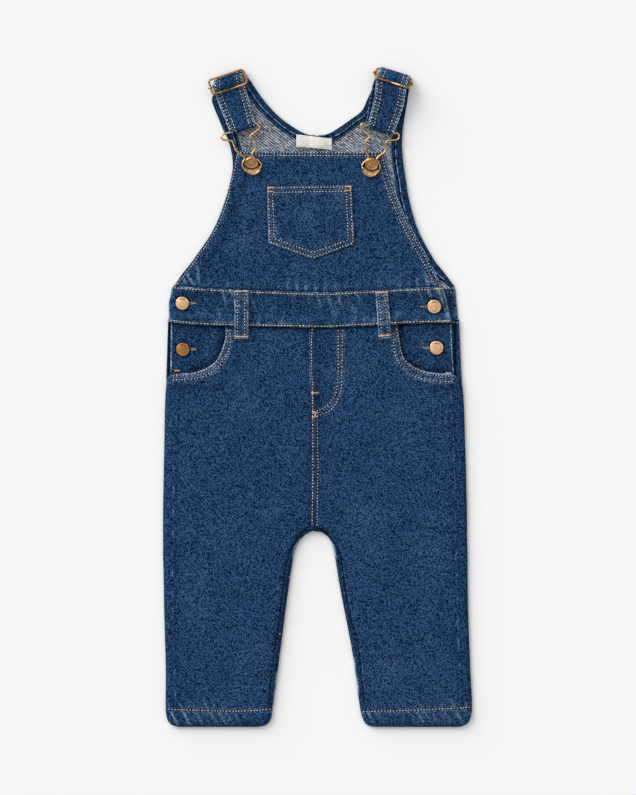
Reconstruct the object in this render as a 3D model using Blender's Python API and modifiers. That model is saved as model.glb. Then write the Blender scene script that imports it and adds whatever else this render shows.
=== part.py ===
"""Child's denim dungarees, laid flat on their back with the straps hooked to the bib.

The origin is the middle of the underside, +Y runs up to the shoulders and +Z away from the surface.
All sizes are millimetres until a mesh is made. "right" and "left" are the wearer's, so the wearer's
right side is at -X. Each cut piece is a wall of denim; where pieces lie on each other, the upper one
follows what is under it with a small gap.
"""

import math
from collections import namedtuple

import bmesh
import bpy
import numpy as np
from mathutils import Matrix, Vector

MM = 0.001
CLOTH = 1.0  # thickness of one denim wall
GAP = 0.3  # clearance between neighbouring pieces
SLOPE = 0.12  # how steeply a panel comes down beside what it lies on
CELL = 13.0  # longest cell along the big panels
SIDES = ("right", "left")

# One row for each section across a piece: where it meets the piece's two long edges.
Section = namedtuple("Section", "edge_x edge_y inner_x inner_y")
# A soft ridge in a panel: its middle, its direction from +X in degrees, its reach and its rise.
Fold = namedtuple("Fold", "x y turn length width rise")

LEG_BELOW_HIP = {  # side seam, then centre seam, crotch and inseam
    "right": (
        Section(-136.0, 11.5, -5.5, -24.5),
        Section(-138.0, -49.5, -5.5, -79.5),
        Section(-139.0, -106.5, -6.2, -111.5),
        Section(-139.0, -124.5, -6.6, -120.2),
        Section(-139.0, -134.0, -11.0, -123.8),
        Section(-139.0, -143.5, -16.5, -130.2),
        Section(-138.5, -160.5, -21.0, -141.5),
        Section(-138.0, -192.0, -26.5, -175.5),
        Section(-136.5, -246.0, -35.0, -240.5),
        Section(-136.5, -282.0, -40.5, -282.0),
        Section(-134.9, -290.8, -42.2, -290.4),
        Section(-131.2, -295.2, -46.0, -295.0),
        Section(-124.5, -297.0, -52.5, -297.0),
    ),
    "left": (
        Section(130.0, 11.5, -5.0, -24.5),
        Section(133.0, -49.5, -5.0, -79.5),
        Section(134.5, -106.5, -4.8, -111.5),
        Section(134.5, -124.5, -4.2, -120.0),
        Section(134.8, -134.0, 4.0, -122.0),
        Section(135.0, -143.5, 11.0, -128.0),
        Section(135.0, -160.5, 15.0, -140.5),
        Section(135.5, -192.0, 19.5, -167.5),
        Section(137.5, -246.0, 32.0, -234.0),
        Section(139.0, -280.0, 38.8, -283.5),
        Section(137.6, -289.0, 41.5, -291.5),
        Section(134.6, -294.2, 45.6, -295.6),
        Section(128.0, -297.0, 51.5, -297.0),
    ),
}
FRONT_HIP = {  # the scooped hip opening, then the centre front seam
    "right": (
        Section(-83.0, 70.0, -6.5, 69.0),
        Section(-83.0, 52.5, -7.0, 50.0),
        Section(-90.0, 34.0, -7.0, 33.0),
        Section(-99.5, 26.0, -6.5, 20.5),
        Section(-113.0, 21.5, -6.0, 8.0),
        Section(-131.5, 20.0, -5.5, -6.5),
    ),
    "left": (
        Section(71.0, 70.0, -6.0, 69.0),
        Section(73.5, 52.5, -6.5, 50.0),
        Section(77.0, 36.0, -6.0, 33.0),
        Section(84.5, 28.5, -6.0, 20.5),
        Section(98.5, 22.5, -5.5, 8.0),
        Section(124.0, 19.0, -5.0, -6.5),
    ),
}
BACK_HIP = {  # side, then centre back seam
    "right": (Section(-134.5, 65.2, -5.5, 65.2), Section(-136.0, 19.5, -5.5, 6.0)),
    "left": (Section(127.5, 65.2, -5.0, 65.2), Section(129.5, 19.5, -5.0, 6.0)),
}
FRONT_WAISTBAND = (  # top, then bottom, from the wearer's right to left
    Section(-129.8, 99.3, -134.0, 67.5),
    Section(-112.5, 98.0, -112.5, 65.0),
    Section(-74.0, 96.0, -74.0, 63.5),
    Section(-34.0, 94.5, -34.0, 63.0),
    Section(4.5, 93.5, 4.5, 62.0),
    Section(48.0, 95.5, 48.0, 64.0),
    Section(77.0, 97.0, 77.0, 65.5),
    Section(106.5, 98.5, 110.0, 66.5),
    Section(113.5, 98.0, 120.5, 67.0),
)
BACK_WAISTBAND = (
    Section(-131.5, 97.0, -134.5, 65.5),
    Section(-0.5, 94.5, -0.5, 65.5),
    Section(124.0, 97.0, 127.0, 65.5),
)
BACK_BIB = {  # armhole, then the middle of the back and the neck, up to the strap
    "right": (
        Section(-131.5, 97.4, -0.5, 94.9),
        Section(-112.0, 123.0, -0.5, 132.0),
        Section(-94.0, 150.0, -0.5, 172.5),
        Section(-83.0, 177.0, -0.5, 204.0),
        Section(-76.5, 204.0, -0.5, 225.5),
        Section(-76.5, 222.0, -0.5, 234.5),
        Section(-85.0, 240.0, -17.5, 240.0),
        Section(-88.5, 249.0, -31.0, 249.0),
        Section(-92.0, 258.0, -41.0, 258.0),
        Section(-95.0, 267.0, -50.0, 269.0),
        Section(-89.6, 278.4, -62.2, 287.7),
    ),
    "left": (
        Section(124.0, 97.4, -0.5, 94.9),
        Section(105.0, 123.0, -0.5, 132.0),
        Section(90.5, 150.0, -0.5, 172.5),
        Section(82.5, 177.0, -0.5, 204.0),
        Section(78.0, 204.0, -0.5, 225.5),
        Section(76.0, 222.0, -0.5, 234.5),
        Section(76.5, 238.5, 16.0, 240.0),
        Section(78.0, 249.0, 29.0, 249.0),
        Section(79.5, 258.0, 39.5, 257.0),
        Section(81.0, 267.0, 45.0, 268.0),
        Section(82.6, 281.1, 56.0, 288.9),
    ),
}
BACK_BIB_ARM = 5  # the section of BACK_BIB at the bottom of the neck, where the two arms part
NECK_HEM = (  # neck edge, then the turned-in edge
    Section(-61.0, 284.5, -69.0, 281.0),
    Section(-50.0, 269.0, -57.5, 264.0),
    Section(-40.5, 258.0, -47.0, 252.0),
    Section(-31.0, 249.0, -36.5, 242.5),
    Section(-17.5, 240.0, -21.0, 232.5),
    Section(-0.5, 234.5, -0.5, 226.0),
    Section(16.0, 240.0, 20.0, 232.5),
    Section(29.0, 249.0, 34.0, 242.5),
    Section(39.5, 257.0, 46.5, 252.0),
    Section(45.0, 268.0, 53.0, 265.5),
    Section(52.5, 285.0, 60.5, 282.0),
)
ARMHOLE_HEM = {  # armhole edge, then the turned-in edge
    "right": (
        Section(-92.5, 274.5, -84.0, 270.5),
        Section(-95.0, 267.0, -85.5, 265.0),
        Section(-88.5, 249.0, -79.0, 250.5),
        Section(-80.5, 231.0, -71.0, 232.0),
        Section(-76.5, 213.0, -67.0, 212.0),
        Section(-77.5, 195.0, -68.0, 192.5),
        Section(-83.0, 177.0, -74.0, 173.5),
        Section(-94.0, 150.0, -86.0, 144.5),
        Section(-112.0, 123.0, -105.0, 116.5),
        Section(-124.5, 107.0, -116.5, 99.5),
    ),
    "left": (
        Section(83.0, 279.5, 73.5, 281.0),
        Section(81.0, 267.0, 71.0, 268.0),
        Section(78.0, 249.0, 68.0, 250.0),
        Section(76.0, 231.0, 66.5, 231.0),
        Section(77.0, 213.0, 67.0, 212.0),
        Section(79.5, 195.0, 70.0, 193.0),
        Section(82.5, 177.0, 73.0, 174.0),
        Section(90.5, 150.0, 82.5, 145.0),
        Section(105.0, 123.0, 97.0, 116.5),
        Section(113.5, 112.3, 105.5, 107.5),
        Section(119.5, 104.3, 113.5, 102.6),
        Section(123.5, 98.9, 120.0, 98.5),
    ),
}
FRONT_BIB = (  # the wearer's right edge, then the left, from the top down
    Section(-72.0, 221.0, 59.5, 220.5),
    Section(-75.5, 206.0, 63.5, 207.0),
    Section(-83.0, 177.0, 74.0, 174.5),
    Section(-94.0, 150.0, 86.0, 149.5),
    Section(-112.0, 123.0, 101.0, 122.0),
    Section(-124.5, 106.5, 109.0, 105.0),
    Section(-130.0, 94.0, 113.5, 92.0),
)
BIB_POCKET = (  # top, then bottom: the bottom comes to a point
    Section(-45.5, 189.0, -44.0, 138.5),
    Section(-6.5, 189.5, -4.0, 124.0),
    Section(30.5, 190.0, 33.0, 137.5),
)
POCKET_FACING = {
    "right": (
        Section(-131.5, 72.5, -69.0, 72.5),
        Section(-132.0, 46.5, -70.0, 46.5),
        Section(-132.0, 22.5, -80.5, 19.5),
        Section(-130.5, 12.5, -95.0, 9.5),
    ),
    "left": (
        Section(120.0, 72.5, 59.0, 72.5),
        Section(121.0, 46.5, 61.0, 46.5),
        Section(122.5, 22.5, 70.5, 19.5),
        Section(122.5, 11.5, 85.0, 9.5),
    ),
}
SIDE_PLACKET = {
    "right": (Section(-134.5, 64.0, -112.0, 64.0), Section(-135.5, 17.0, -112.0, 17.0)),
    "left": (Section(127.0, 64.0, 103.0, 64.0), Section(129.5, 17.0, 105.0, 17.0)),
}
BELT_LOOP = {
    "right": (Section(-75.0, 96.0, -62.0, 96.0), Section(-74.5, 52.0, -62.0, 52.0)),
    "left": (Section(52.0, 94.5, 63.0, 95.0), Section(55.0, 51.5, 67.0, 53.0)),
}
NECK_LABEL = (Section(-19.0, 236.0, 13.0, 232.0), Section(-19.0, 225.0, 13.0, 222.0))

LEG_FOLDS = {
    "right": (
        Fold(-45, -105, 28, 40, 9, 0.9),
        Fold(-38, -82, 12, 34, 7, 0.6),
        Fold(-88, -40, 80, 60, 12, 0.5),
        Fold(-95, -190, 96, 55, 12, 0.6),
        Fold(-62, -215, 84, 40, 9, 0.5),
    ),
    "left": (
        Fold(38, -104, 150, 40, 9, 0.9),
        Fold(34, -80, 168, 34, 7, 0.6),
        Fold(84, -46, 98, 60, 12, 0.5),
        Fold(98, -180, 84, 55, 12, 0.6),
        Fold(66, -222, 98, 40, 9, 0.5),
    ),
}
BIB_FOLDS = (
    Fold(-112, 112, 40, 20, 5, 1.1),
    Fold(-98, 104, 62, 16, 4, 0.8),
    Fold(98, 108, 118, 17, 4, 1.0),
    Fold(86, 101, 100, 14, 4, 0.6),
    Fold(-28, 108, 12, 34, 8, 0.4),
)
LEG_PUFF, BIB_PUFF = 1.5, 0.9  # how far the middle of a panel stands off its edges

# Domed buttons at the hips: where each sits, and the piece whose buttonhole it comes up through.
SideButton = namedtuple("SideButton", "name x y hole_in")
SIDE_BUTTONS = (
    SideButton("side_button_right_upper", -121.5, 84.0, "front_waistband"),
    SideButton("side_button_right_lower", -121.0, 42.5, "pocket_facing_right"),
    SideButton("side_button_left_upper", 105.0, 81.0, "front_waistband"),
    SideButton("side_button_left_lower", 107.0, 44.0, "pocket_facing_left"),
)
BUTTON_RADIUS, BUTTON_CAP, SHANK_RADIUS = 6.2, 1.6, 2.2
BUTTONHOLE_LENGTH, BUTTONHOLE_SLOT, BUTTONHOLE_EYE = 12.4, 0.9, 2.8
BIB_BUTTONS = {"right": (-59.0, 210.5), "left": (49.0, 209.5)}
BIB_BUTTON_RADIUS, BIB_BUTTON_CAP = 6.1, 1.2

# The bent wire that hooks a strap to its button, from one end of the stamped plate to the other.
HOOK_WIRE_RADIUS = 0.8
HOOK_BAR_HEIGHT = 5.0
HOOK_ROUTES = {
    "right": (
        (-65.2, 204.2), (-67.6, 206.4), (-68.0, 209.5), (-67.0, 212.5), (-65.0, 215.0),
        (-69.5, 217.5), (-73.5, 220.5), (-75.5, 226.0), (-78.0, 230.0), (-84.0, 230.8),
        (-86.6, 233.2), (-85.0, 235.5), (-82.0, 236.5), (-79.4, 237.4), (-55.0, 245.6),
        (-52.4, 246.2), (-50.9, 244.7), (-52.0, 241.8), (-59.5, 235.0),
        (-58.0, 230.0), (-55.5, 225.5), (-58.5, 218.5), (-57.0, 215.0), (-53.5, 212.5),
        (-50.5, 209.5), (-50.0, 207.0),
    ),
    "left": (
        (40.4, 206.6), (40.0, 208.8), (41.5, 211.0), (44.5, 213.5), (45.0, 216.5),
        (43.0, 222.5), (43.5, 227.5), (46.5, 233.5), (42.5, 238.5), (39.4, 242.4),
        (39.7, 244.8), (42.0, 244.8), (44.4, 244.0), (69.0, 236.2), (71.8, 235.2),
        (73.4, 233.1), (72.0, 231.0), (69.0, 230.4), (62.5, 229.6),
        (61.5, 225.0), (59.0, 218.5), (53.5, 215.0), (54.5, 211.0), (56.6, 207.2),
        (56.2, 203.9),
    ),
}
PLATE_REACH, PLATE_INNER, PLATE_OUTER = 42.0, 8.0, 10.6  # half angle in degrees, then the arcs
PLATE_DROP, PLATE_THICK = 1.3, 1.2  # centre of the outer arc below the button, and the sheet
PLATE_TURN = {"right": 13.0, "left": -14.0}  # degrees from straight down

# The strap, along its own line from the shoulder fold to the hook and back to the slider's bar.
Station = namedtuple("Station", "along height aside half_width")
STRAP_LINE = {  # shoulder fold, then the fold at the hook
    "right": ((-83.0, 288.5), (-66.5, 239.5)),
    "left": ((73.0, 292.0), (56.0, 238.0)),
}
STRAPS = {
    "right": (
        Station(7.0, 0.5, 4.2, 13.9),
        Station(4.5, 0.5, 4.2, 13.9),
        Station(2.4, 0.5, 4.2, 13.9),
        Station(1.05, 1.05, 4.1, 13.9),
        Station(0.5, 2.45, 3.8, 13.8),
        Station(1.05, 3.9, 3.1, 13.7),
        Station(2.5, 5.1, 2.2, 13.6),
        Station(4.2, 6.5, 1.3, 13.6),
        Station(6.1, 7.5, 0.8, 13.8),
        Station(8.6, 6.8, 0.4, 14.0),
        Station(12.9, 4.8, 0.0, 14.1),
        Station(18.0, 4.5, 0.0, 13.9),
        Station(32.0, 4.5, 0.0, 13.2),
        Station(43.0, 4.9, 0.0, 12.5),
        Station(47.4, 6.3, 0.0, 12.3),
        Station(49.6, 6.75, 0.0, 12.2),
        Station(50.84, 6.24, 0.0, 12.2),
        Station(51.35, 5.0, 0.0, 12.2),
        Station(50.84, 3.76, 0.0, 12.2),
        Station(49.6, 3.25, 0.0, 12.2),
        Station(44.0, 3.2, 0.0, 12.3),
        Station(28.0, 3.2, 0.0, 12.9),
        Station(12.0, 3.2, 0.0, 13.8),
        Station(6.1, 3.1, 0.0, 14.0),
        Station(5.04, 3.54, 0.0, 14.0),
        Station(4.6, 4.6, 0.0, 14.0),
        Station(5.04, 5.66, 0.0, 14.0),
        Station(6.1, 6.1, 0.0, 14.0),
        Station(7.3, 5.5, 0.0, 14.0),
    ),
    "left": (
        Station(7.0, 0.5, -1.0, 14.0),
        Station(4.6, 0.5, -2.0, 14.0),
        Station(2.3, 0.5, -2.6, 14.0),
        Station(1.0, 1.0, -2.8, 14.0),
        Station(0.5, 2.2, -2.9, 14.1),
        Station(1.0, 3.4, -3.0, 14.1),
        Station(3.3, 5.9, -3.1, 14.2),
        Station(5.9, 8.1, -3.2, 14.2),
        Station(9.2, 9.6, -3.3, 14.2),
        Station(12.8, 10.3, -3.2, 14.2),
        Station(18.0, 9.7, -2.0, 14.1),
        Station(28.0, 7.7, -0.4, 13.7),
        Station(40.0, 5.9, 0.0, 13.2),
        Station(50.0, 6.3, 0.0, 12.6),
        Station(54.4, 6.75, 0.0, 12.5),
        Station(55.64, 6.24, 0.0, 12.5),
        Station(56.15, 5.0, 0.0, 12.5),
        Station(55.64, 3.76, 0.0, 12.5),
        Station(54.4, 3.25, 0.0, 12.5),
        Station(48.0, 3.2, 0.0, 12.6),
        Station(32.0, 3.2, 0.0, 13.0),
        Station(18.0, 3.2, -1.5, 13.6),
        Station(12.0, 3.7, -2.8, 13.9),
        Station(9.0, 4.5, -3.2, 14.0),
        Station(7.5, 4.5, -3.2, 14.0),
        Station(6.77, 5.78, -3.2, 14.0),
        Station(7.5, 7.08, -3.2, 14.0),
        Station(8.8, 7.15, -3.2, 14.0),
    ),
}
SLIDER_WIRE, SLIDER_BAR = 0.9, 0.7  # wire radii
SLIDER_HALF_WIDTH, SLIDER_HALF_HEIGHT, SLIDER_CORNER = 16.2, 6.8, 2.4  # to the wire's middle
# Where a slider sits on its strap's line, and how it is turned in the plane and tipped out of it.
Slider = namedtuple("Slider", "along height aside turn tip")
SLIDERS = {
    "right": Slider(6.1, 6.5, 0.4, 18.4, 0.0),
    "left": Slider(6.9, 7.1, -3.2, -17.5, 46.0),
}

FINISHES = {  # colour, roughness, metallic
    "denim": ((0.021, 0.052, 0.116, 1.0), 0.9, 0.0),
    "denim_inside": ((0.165, 0.190, 0.224, 1.0), 0.92, 0.0),
    "label": ((0.75, 0.72, 0.66, 1.0), 0.8, 0.0),
    "brass": ((0.72, 0.45, 0.17, 1.0), 0.3, 1.0),
    "antique_brass": ((0.42, 0.25, 0.11, 1.0), 0.45, 1.0),
}

tops = {}  # the upper surface of each piece laid so far, as sampled points


def edge_curve(points, counts):
    """A smooth curve through the points, with counts[i] steps between point i and the next."""
    p = np.array(points, float)
    chord = np.linalg.norm(np.diff(p, axis=0), axis=1)[:, None]
    slope = np.diff(p, axis=0) / chord
    middle = (p[2:] - p[:-2]) / (chord[:-1] + chord[1:])
    tangent = np.vstack([slope[:1], middle, slope[-1:]])
    curve = []
    for i, count in enumerate(counts):
        t = (np.arange(count) / count)[:, None]
        curve.append(
            (2 * t**3 - 3 * t**2 + 1) * p[i]
            + (t**3 - 2 * t**2 + t) * chord[i] * tangent[i]
            + (3 * t**2 - 2 * t**3) * p[i + 1]
            + (t**3 - t**2) * chord[i] * tangent[i + 1]
        )
    return np.vstack([*curve, p[-1:]])


def straight_line(points, counts):
    """The same steps along straight runs between the points."""
    p = np.array(points, float)
    runs = [p[i] + (np.arange(n) / n)[:, None] * (p[i + 1] - p[i]) for i, n in enumerate(counts)]
    return np.vstack([*runs, p[-1:]])


def plan(sections, columns, cell, along=edge_curve):
    """Points of a piece seen from above, as rows x columns x 2, between its two long edges."""
    edge = np.array([(s.edge_x, s.edge_y) for s in sections])
    inner = np.array([(s.inner_x, s.inner_y) for s in sections])
    span = np.maximum(
        np.linalg.norm(np.diff(edge, axis=0), axis=1),
        np.linalg.norm(np.diff(inner, axis=0), axis=1),
    )
    counts = np.maximum(1, np.ceil(span / cell)).astype(int)
    across = np.linspace(0, 1, columns + 1)[None, :, None]
    first, last = along(edge, counts)[:, None, :], along(inner, counts)[:, None, :]
    return first * (1 - across) + last * across


def finely(surface, split=4):
    """A piece's upper surface sampled between its points, as a list of points."""
    for axis in (0, 1):
        a = np.take(surface, range(surface.shape[axis] - 1), axis)
        b = np.take(surface, range(1, surface.shape[axis]), axis)
        parts = [a + (b - a) * k / split for k in range(split)]
        last = np.take(surface, [-1], axis)
        shape = list(surface.shape)
        shape[axis] = (surface.shape[axis] - 1) * split
        surface = np.concatenate([np.stack(parts, axis + 1).reshape(shape), last], axis)
    return surface.reshape(-1, 3)


def over(points, below):
    """Heights at which a piece with this plan clears every piece below it."""
    diagonal = points[1:, 1:] - points[:-1, :-1]
    other = points[1:, :-1] - points[:-1, 1:]
    reach = 0.5 + max(np.linalg.norm(diagonal, axis=2).max(), np.linalg.norm(other, axis=2).max())
    flat = points.reshape(-1, 2)
    height = np.zeros(len(flat))
    for name in below:
        under = tops[name]
        away = np.linalg.norm(flat[:, None, :] - under[None, :, :2], axis=2)
        clear = under[:, 2] + GAP - SLOPE * np.maximum(away - reach, 0)
        height = np.maximum(height, clear.max(axis=1))
    return height.reshape(points.shape[:2])


def ridges(points, folds):
    """The rise that the folds add at each point."""
    rise = np.zeros(points.shape[:2])
    for fold in folds:
        turn = math.radians(fold.turn)
        x, y = points[..., 0] - fold.x, points[..., 1] - fold.y
        run = x * math.cos(turn) + y * math.sin(turn)
        side = y * math.cos(turn) - x * math.sin(turn)
        rise += fold.rise * np.exp(-((run / fold.length) ** 2) - (side / fold.width) ** 2)
    return rise


def crown(points, rise):
    """A soft rise across each row of points, none at its two ends."""
    across = np.linspace(0, 1, points.shape[1])
    return rise * np.sin(np.pi * across)[None, :] ** 0.8 * np.ones(points.shape[:2])


def material(kind):
    colour, roughness, metallic = FINISHES[kind]
    made = bpy.data.materials.get(kind) or bpy.data.materials.new(kind)
    made.use_nodes = True
    shader = made.node_tree.nodes["Principled BSDF"]
    shader.inputs["Base Color"].default_value = colour
    shader.inputs["Roughness"].default_value = roughness
    shader.inputs["Metallic"].default_value = metallic
    return made


def add(name, data, kind):
    made = bpy.data.objects.new(name, data)
    garment.objects.link(made)
    data.materials.append(material(kind))
    return made


def sheet_of(surface):
    """A bmesh grid shaped to the surface, in metres."""
    rows, columns = surface.shape[:2]
    bm = bmesh.new()
    bmesh.ops.create_grid(bm, x_segments=columns - 1, y_segments=rows - 1, size=1)
    bm.verts.ensure_lookup_table()
    for vert, place in zip(bm.verts, surface.reshape(-1, 3)):
        vert.co = Vector(place) * MM
    return bm


def finish_mesh(bm, name):
    bmesh.ops.recalc_face_normals(bm, faces=bm.faces)
    data = bpy.data.meshes.new(name)
    bm.to_mesh(data)
    bm.free()
    return data


def raise_wall(bm, name, kind):
    """Turns a laid sheet into a wall by raising it straight up, so that stacked walls keep their gap."""
    raised = bmesh.ops.extrude_face_region(bm, geom=list(bm.faces))["geom"]
    moved = [part for part in raised if isinstance(part, bmesh.types.BMVert)]
    bmesh.ops.translate(bm, verts=moved, vec=(0, 0, CLOTH * MM))
    return add(name, finish_mesh(bm, name), kind)


def lay(name, points, heights, kind="denim"):
    """One piece of cloth with this plan and these underside heights."""
    surface = np.dstack([points, heights])
    tops[name] = finely(surface + (0, 0, CLOTH))
    return raise_wall(sheet_of(surface), name, kind)


def top_near(name, x, y, radius):
    """The highest point of a laid piece within a radius."""
    near = np.hypot(tops[name][:, 0] - x, tops[name][:, 1] - y) < radius
    return tops[name][near, 2].max()


def flat(points):
    return np.zeros(points.shape[:2])


def trimmed(points, side):
    """Moves a leg's centre seam edge back by half a gap."""
    points = points.copy()
    points[:, -1, 0] += GAP / 2 if side == "left" else -GAP / 2
    return points


def make_back():
    for side in SIDES:
        sections = BACK_HIP[side] + LEG_BELOW_HIP[side]
        points = trimmed(plan(sections, 3, 26), side)
        lay(f"back_leg_{side}", points, flat(points))
    points = plan(BACK_WAISTBAND, 1, 70)
    lay("back_waistband", points, flat(points))
    halves = bmesh.new()
    for side in SIDES:
        points = plan(BACK_BIB[side], 3, 22)
        surface = np.dstack([points, flat(points)])
        half = finish_mesh(sheet_of(surface), "half")
        halves.from_mesh(half)
        bpy.data.meshes.remove(half)
    bmesh.ops.remove_doubles(halves, verts=halves.verts, dist=0.01 * MM)
    raise_wall(halves, "back_bib", "denim_inside")


def make_back_edges():
    points = plan(NECK_HEM, 1, 9)
    lay("back_neck_hem", points, flat(points) + CLOTH + GAP)
    for side in SIDES:
        points = plan(ARMHOLE_HEM[side], 1, 11)
        lay(f"back_armhole_hem_{side}", points, flat(points) + CLOTH + GAP)
        points = plan(SIDE_PLACKET[side], 2, 12)
        lay(f"side_placket_{side}", points, flat(points) + CLOTH + GAP)
    points = plan(NECK_LABEL, 2, 6, straight_line)
    lay("neck_label", points, np.maximum(over(points, ["back_neck_hem"]), CLOTH + GAP), "label")


def make_front():
    base = CLOTH + GAP
    points = plan(FRONT_BIB, 13, CELL)
    under = over(points, ["back_armhole_hem_right", "back_armhole_hem_left"])
    shape = crown(points, BIB_PUFF) + ridges(points, BIB_FOLDS)
    lay("front_bib", points, np.maximum(under, base) + shape)
    for side in SIDES:
        points = plan(POCKET_FACING[side], 5, 10)
        heights = np.maximum(over(points, [f"side_placket_{side}"]), base)
        lay(f"pocket_facing_{side}", points, heights)
        points = trimmed(plan(FRONT_HIP[side] + LEG_BELOW_HIP[side], 10, CELL), side)
        under = over(points, [f"side_placket_{side}", f"pocket_facing_{side}"])
        shape = crown(points, LEG_PUFF) + ridges(points, LEG_FOLDS[side])
        lay(f"front_leg_{side}", points, np.maximum(under, base) + shape)
    points = plan(FRONT_WAISTBAND, 3, 11)
    under = [f"{piece}_{side}" for piece in ("front_leg", "pocket_facing") for side in SIDES]
    lay("front_waistband", points, over(points, ["front_bib", *under]))
    points = plan(BIB_POCKET, 6, 9, straight_line)
    lay("bib_pocket", points, over(points, ["front_bib"]))
    for side in SIDES:
        points = plan(BELT_LOOP[side], 2, 7.5)
        lay(f"belt_loop_{side}", points, over(points, ["front_waistband", f"front_leg_{side}"]))


def turned(name, profile, x, y, kind):
    """A turned piece: the profile, as (radius, height) from the top down, swept round its axis."""
    bm = bmesh.new()
    verts = [bm.verts.new((radius * MM, 0, height * MM)) for radius, height in profile]
    for upper, lower in zip(verts, verts[1:]):
        bm.edges.new((upper, lower))
    data = bpy.data.meshes.new(name)
    bm.to_mesh(data)
    bm.free()
    made = add(name, data, kind)
    made.location = (x * MM, y * MM, 0)
    screw = made.modifiers.new("turn", "SCREW")
    screw.steps = screw.render_steps = 20
    screw.use_merge_vertices = True
    screw.merge_threshold = 1e-6
    return made


def wire(name, route, radius, closed=False, kind="brass"):
    """Bent wire: a round curve object through the points of its route."""
    data = bpy.data.curves.new(name, "CURVE")
    data.dimensions = "3D"
    data.bevel_depth = radius * MM
    data.bevel_resolution = 2
    data.use_fill_caps = True
    spline = data.splines.new("POLY")
    spline.points.add(len(route) - 1)
    for point, place in zip(spline.points, route):
        point.co = (*(Vector(place) * MM), 1)
    spline.use_cyclic_u = closed
    return add(name, data, kind)


def cutter(name, bm, target):
    data = bpy.data.meshes.new(name)
    bm.to_mesh(data)
    bm.free()
    tool = bpy.data.objects.new(name, data)
    tool.hide_render = True
    tool.display_type = "WIRE"
    cutters.objects.link(tool)
    cut = bpy.data.objects[target].modifiers.new(name, "BOOLEAN")
    cut.operation = "DIFFERENCE"
    cut.object = tool


def make_side_buttons():
    """Domed buttons on shanks, each through the eye of a buttonhole that runs towards the middle."""
    for button in SIDE_BUTTONS:
        right = button.x < 0
        cloth = top_near(button.hole_in, button.x, button.y, BUTTON_RADIUS + 4)
        if button.hole_in == "front_waistband":
            foot = CLOTH + GAP
        else:
            side = "right" if right else "left"
            foot = top_near(f"side_placket_{side}", button.x, button.y, BUTTON_RADIUS) + GAP
        cap = cloth + GAP
        profile = [
            (0, cap + BUTTON_CAP),
            (BUTTON_RADIUS * 0.5, cap + BUTTON_CAP * 0.93),
            (BUTTON_RADIUS * 0.85, cap + BUTTON_CAP * 0.7),
            (BUTTON_RADIUS, cap + BUTTON_CAP * 0.35),
            (BUTTON_RADIUS, cap + 0.25),
            (BUTTON_RADIUS - 0.4, cap),
            (SHANK_RADIUS, cap),
            (SHANK_RADIUS, foot),
            (0, foot),
        ]
        turned(button.name, profile, button.x, button.y, "brass")
        centre = Vector((button.x, button.y, cloth)) * MM
        eye = bmesh.new()
        bmesh.ops.create_cone(
            eye, cap_ends=True, segments=16, radius1=BUTTONHOLE_EYE * MM,
            radius2=BUTTONHOLE_EYE * MM, depth=12 * MM, matrix=Matrix.Translation(centre),
        )
        cutter(f"eye_{button.name}", eye, button.hole_in)
        reach = BUTTONHOLE_LENGTH if right else -BUTTONHOLE_LENGTH
        middle = centre + Vector((reach / 2, 0, 0)) * MM
        size = Vector((abs(reach), BUTTONHOLE_SLOT, 12)) * MM
        slot = bmesh.new()
        bmesh.ops.create_cube(slot, size=1, matrix=Matrix.Translation(middle) @ Matrix.Diagonal((*size, 1)))
        cutter(f"slot_{button.name}", slot, button.hole_in)


def make_hooks():
    """Flat bib buttons, the wire hooks pulled over them, and the stamped plates that join the wires."""
    for side in SIDES:
        x, y = BIB_BUTTONS[side]
        bib = top_near("front_bib", x, y, 15)
        middle = bib + GAP + HOOK_WIRE_RADIUS
        cap = middle + HOOK_WIRE_RADIUS + GAP
        profile = [
            (0, cap + BIB_BUTTON_CAP),
            (BIB_BUTTON_RADIUS - 0.6, cap + BIB_BUTTON_CAP),
            (BIB_BUTTON_RADIUS, cap + BIB_BUTTON_CAP * 0.5),
            (BIB_BUTTON_RADIUS - 0.3, cap),
            (SHANK_RADIUS, cap),
            (SHANK_RADIUS, bib + GAP),
            (0, bib + GAP),
        ]
        turned(f"bib_button_{side}", profile, x, y, "antique_brass")
        route = np.array(HOOK_ROUTES[side])
        bent = edge_curve(route, [2] * (len(route) - 1))
        rise = np.clip((bent[:, 1] - (y + 9)) / 16, 0, 1)
        heights = middle + (HOOK_BAR_HEIGHT - middle) * rise
        wire(f"bib_hook_wire_{side}", np.column_stack([bent, heights]), HOOK_WIRE_RADIUS)
        make_plate(side, x, y, bib + GAP)


def make_plate(side, x, y, bottom):
    """The stamped plate: a crescent of sheet, its horns just short of the wire's ends."""
    down = math.radians(-90 + PLATE_TURN[side])
    reach = math.radians(PLATE_REACH)
    angles = np.linspace(down - reach, down + reach, 13)
    drop = np.array([math.cos(down), math.sin(down)]) * PLATE_DROP
    unit = np.column_stack([np.cos(angles), np.sin(angles)])
    outline = np.vstack([unit * PLATE_INNER, (unit * PLATE_OUTER + drop)[::-1]]) + (x, y)
    data = bpy.data.curves.new("plate", "CURVE")
    data.dimensions = "2D"
    data.fill_mode = "BOTH"
    data.extrude = PLATE_THICK / 2 * MM
    spline = data.splines.new("POLY")
    spline.points.add(len(outline) - 1)
    for point, place in zip(spline.points, outline):
        point.co = (place[0] * MM, place[1] * MM, 0, 1)
    spline.use_cyclic_u = True
    made = add(f"bib_hook_plate_{side}", data, "brass")
    made.location.z = (bottom + PLATE_THICK / 2) * MM


def strap_axes(side):
    """The strap line's start, its direction and the direction across it, towards +X."""
    start, end = (np.array(point) for point in STRAP_LINE[side])
    along = (end - start) / np.linalg.norm(end - start)
    return start, along, np.array([-along[1], along[0]])


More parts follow.
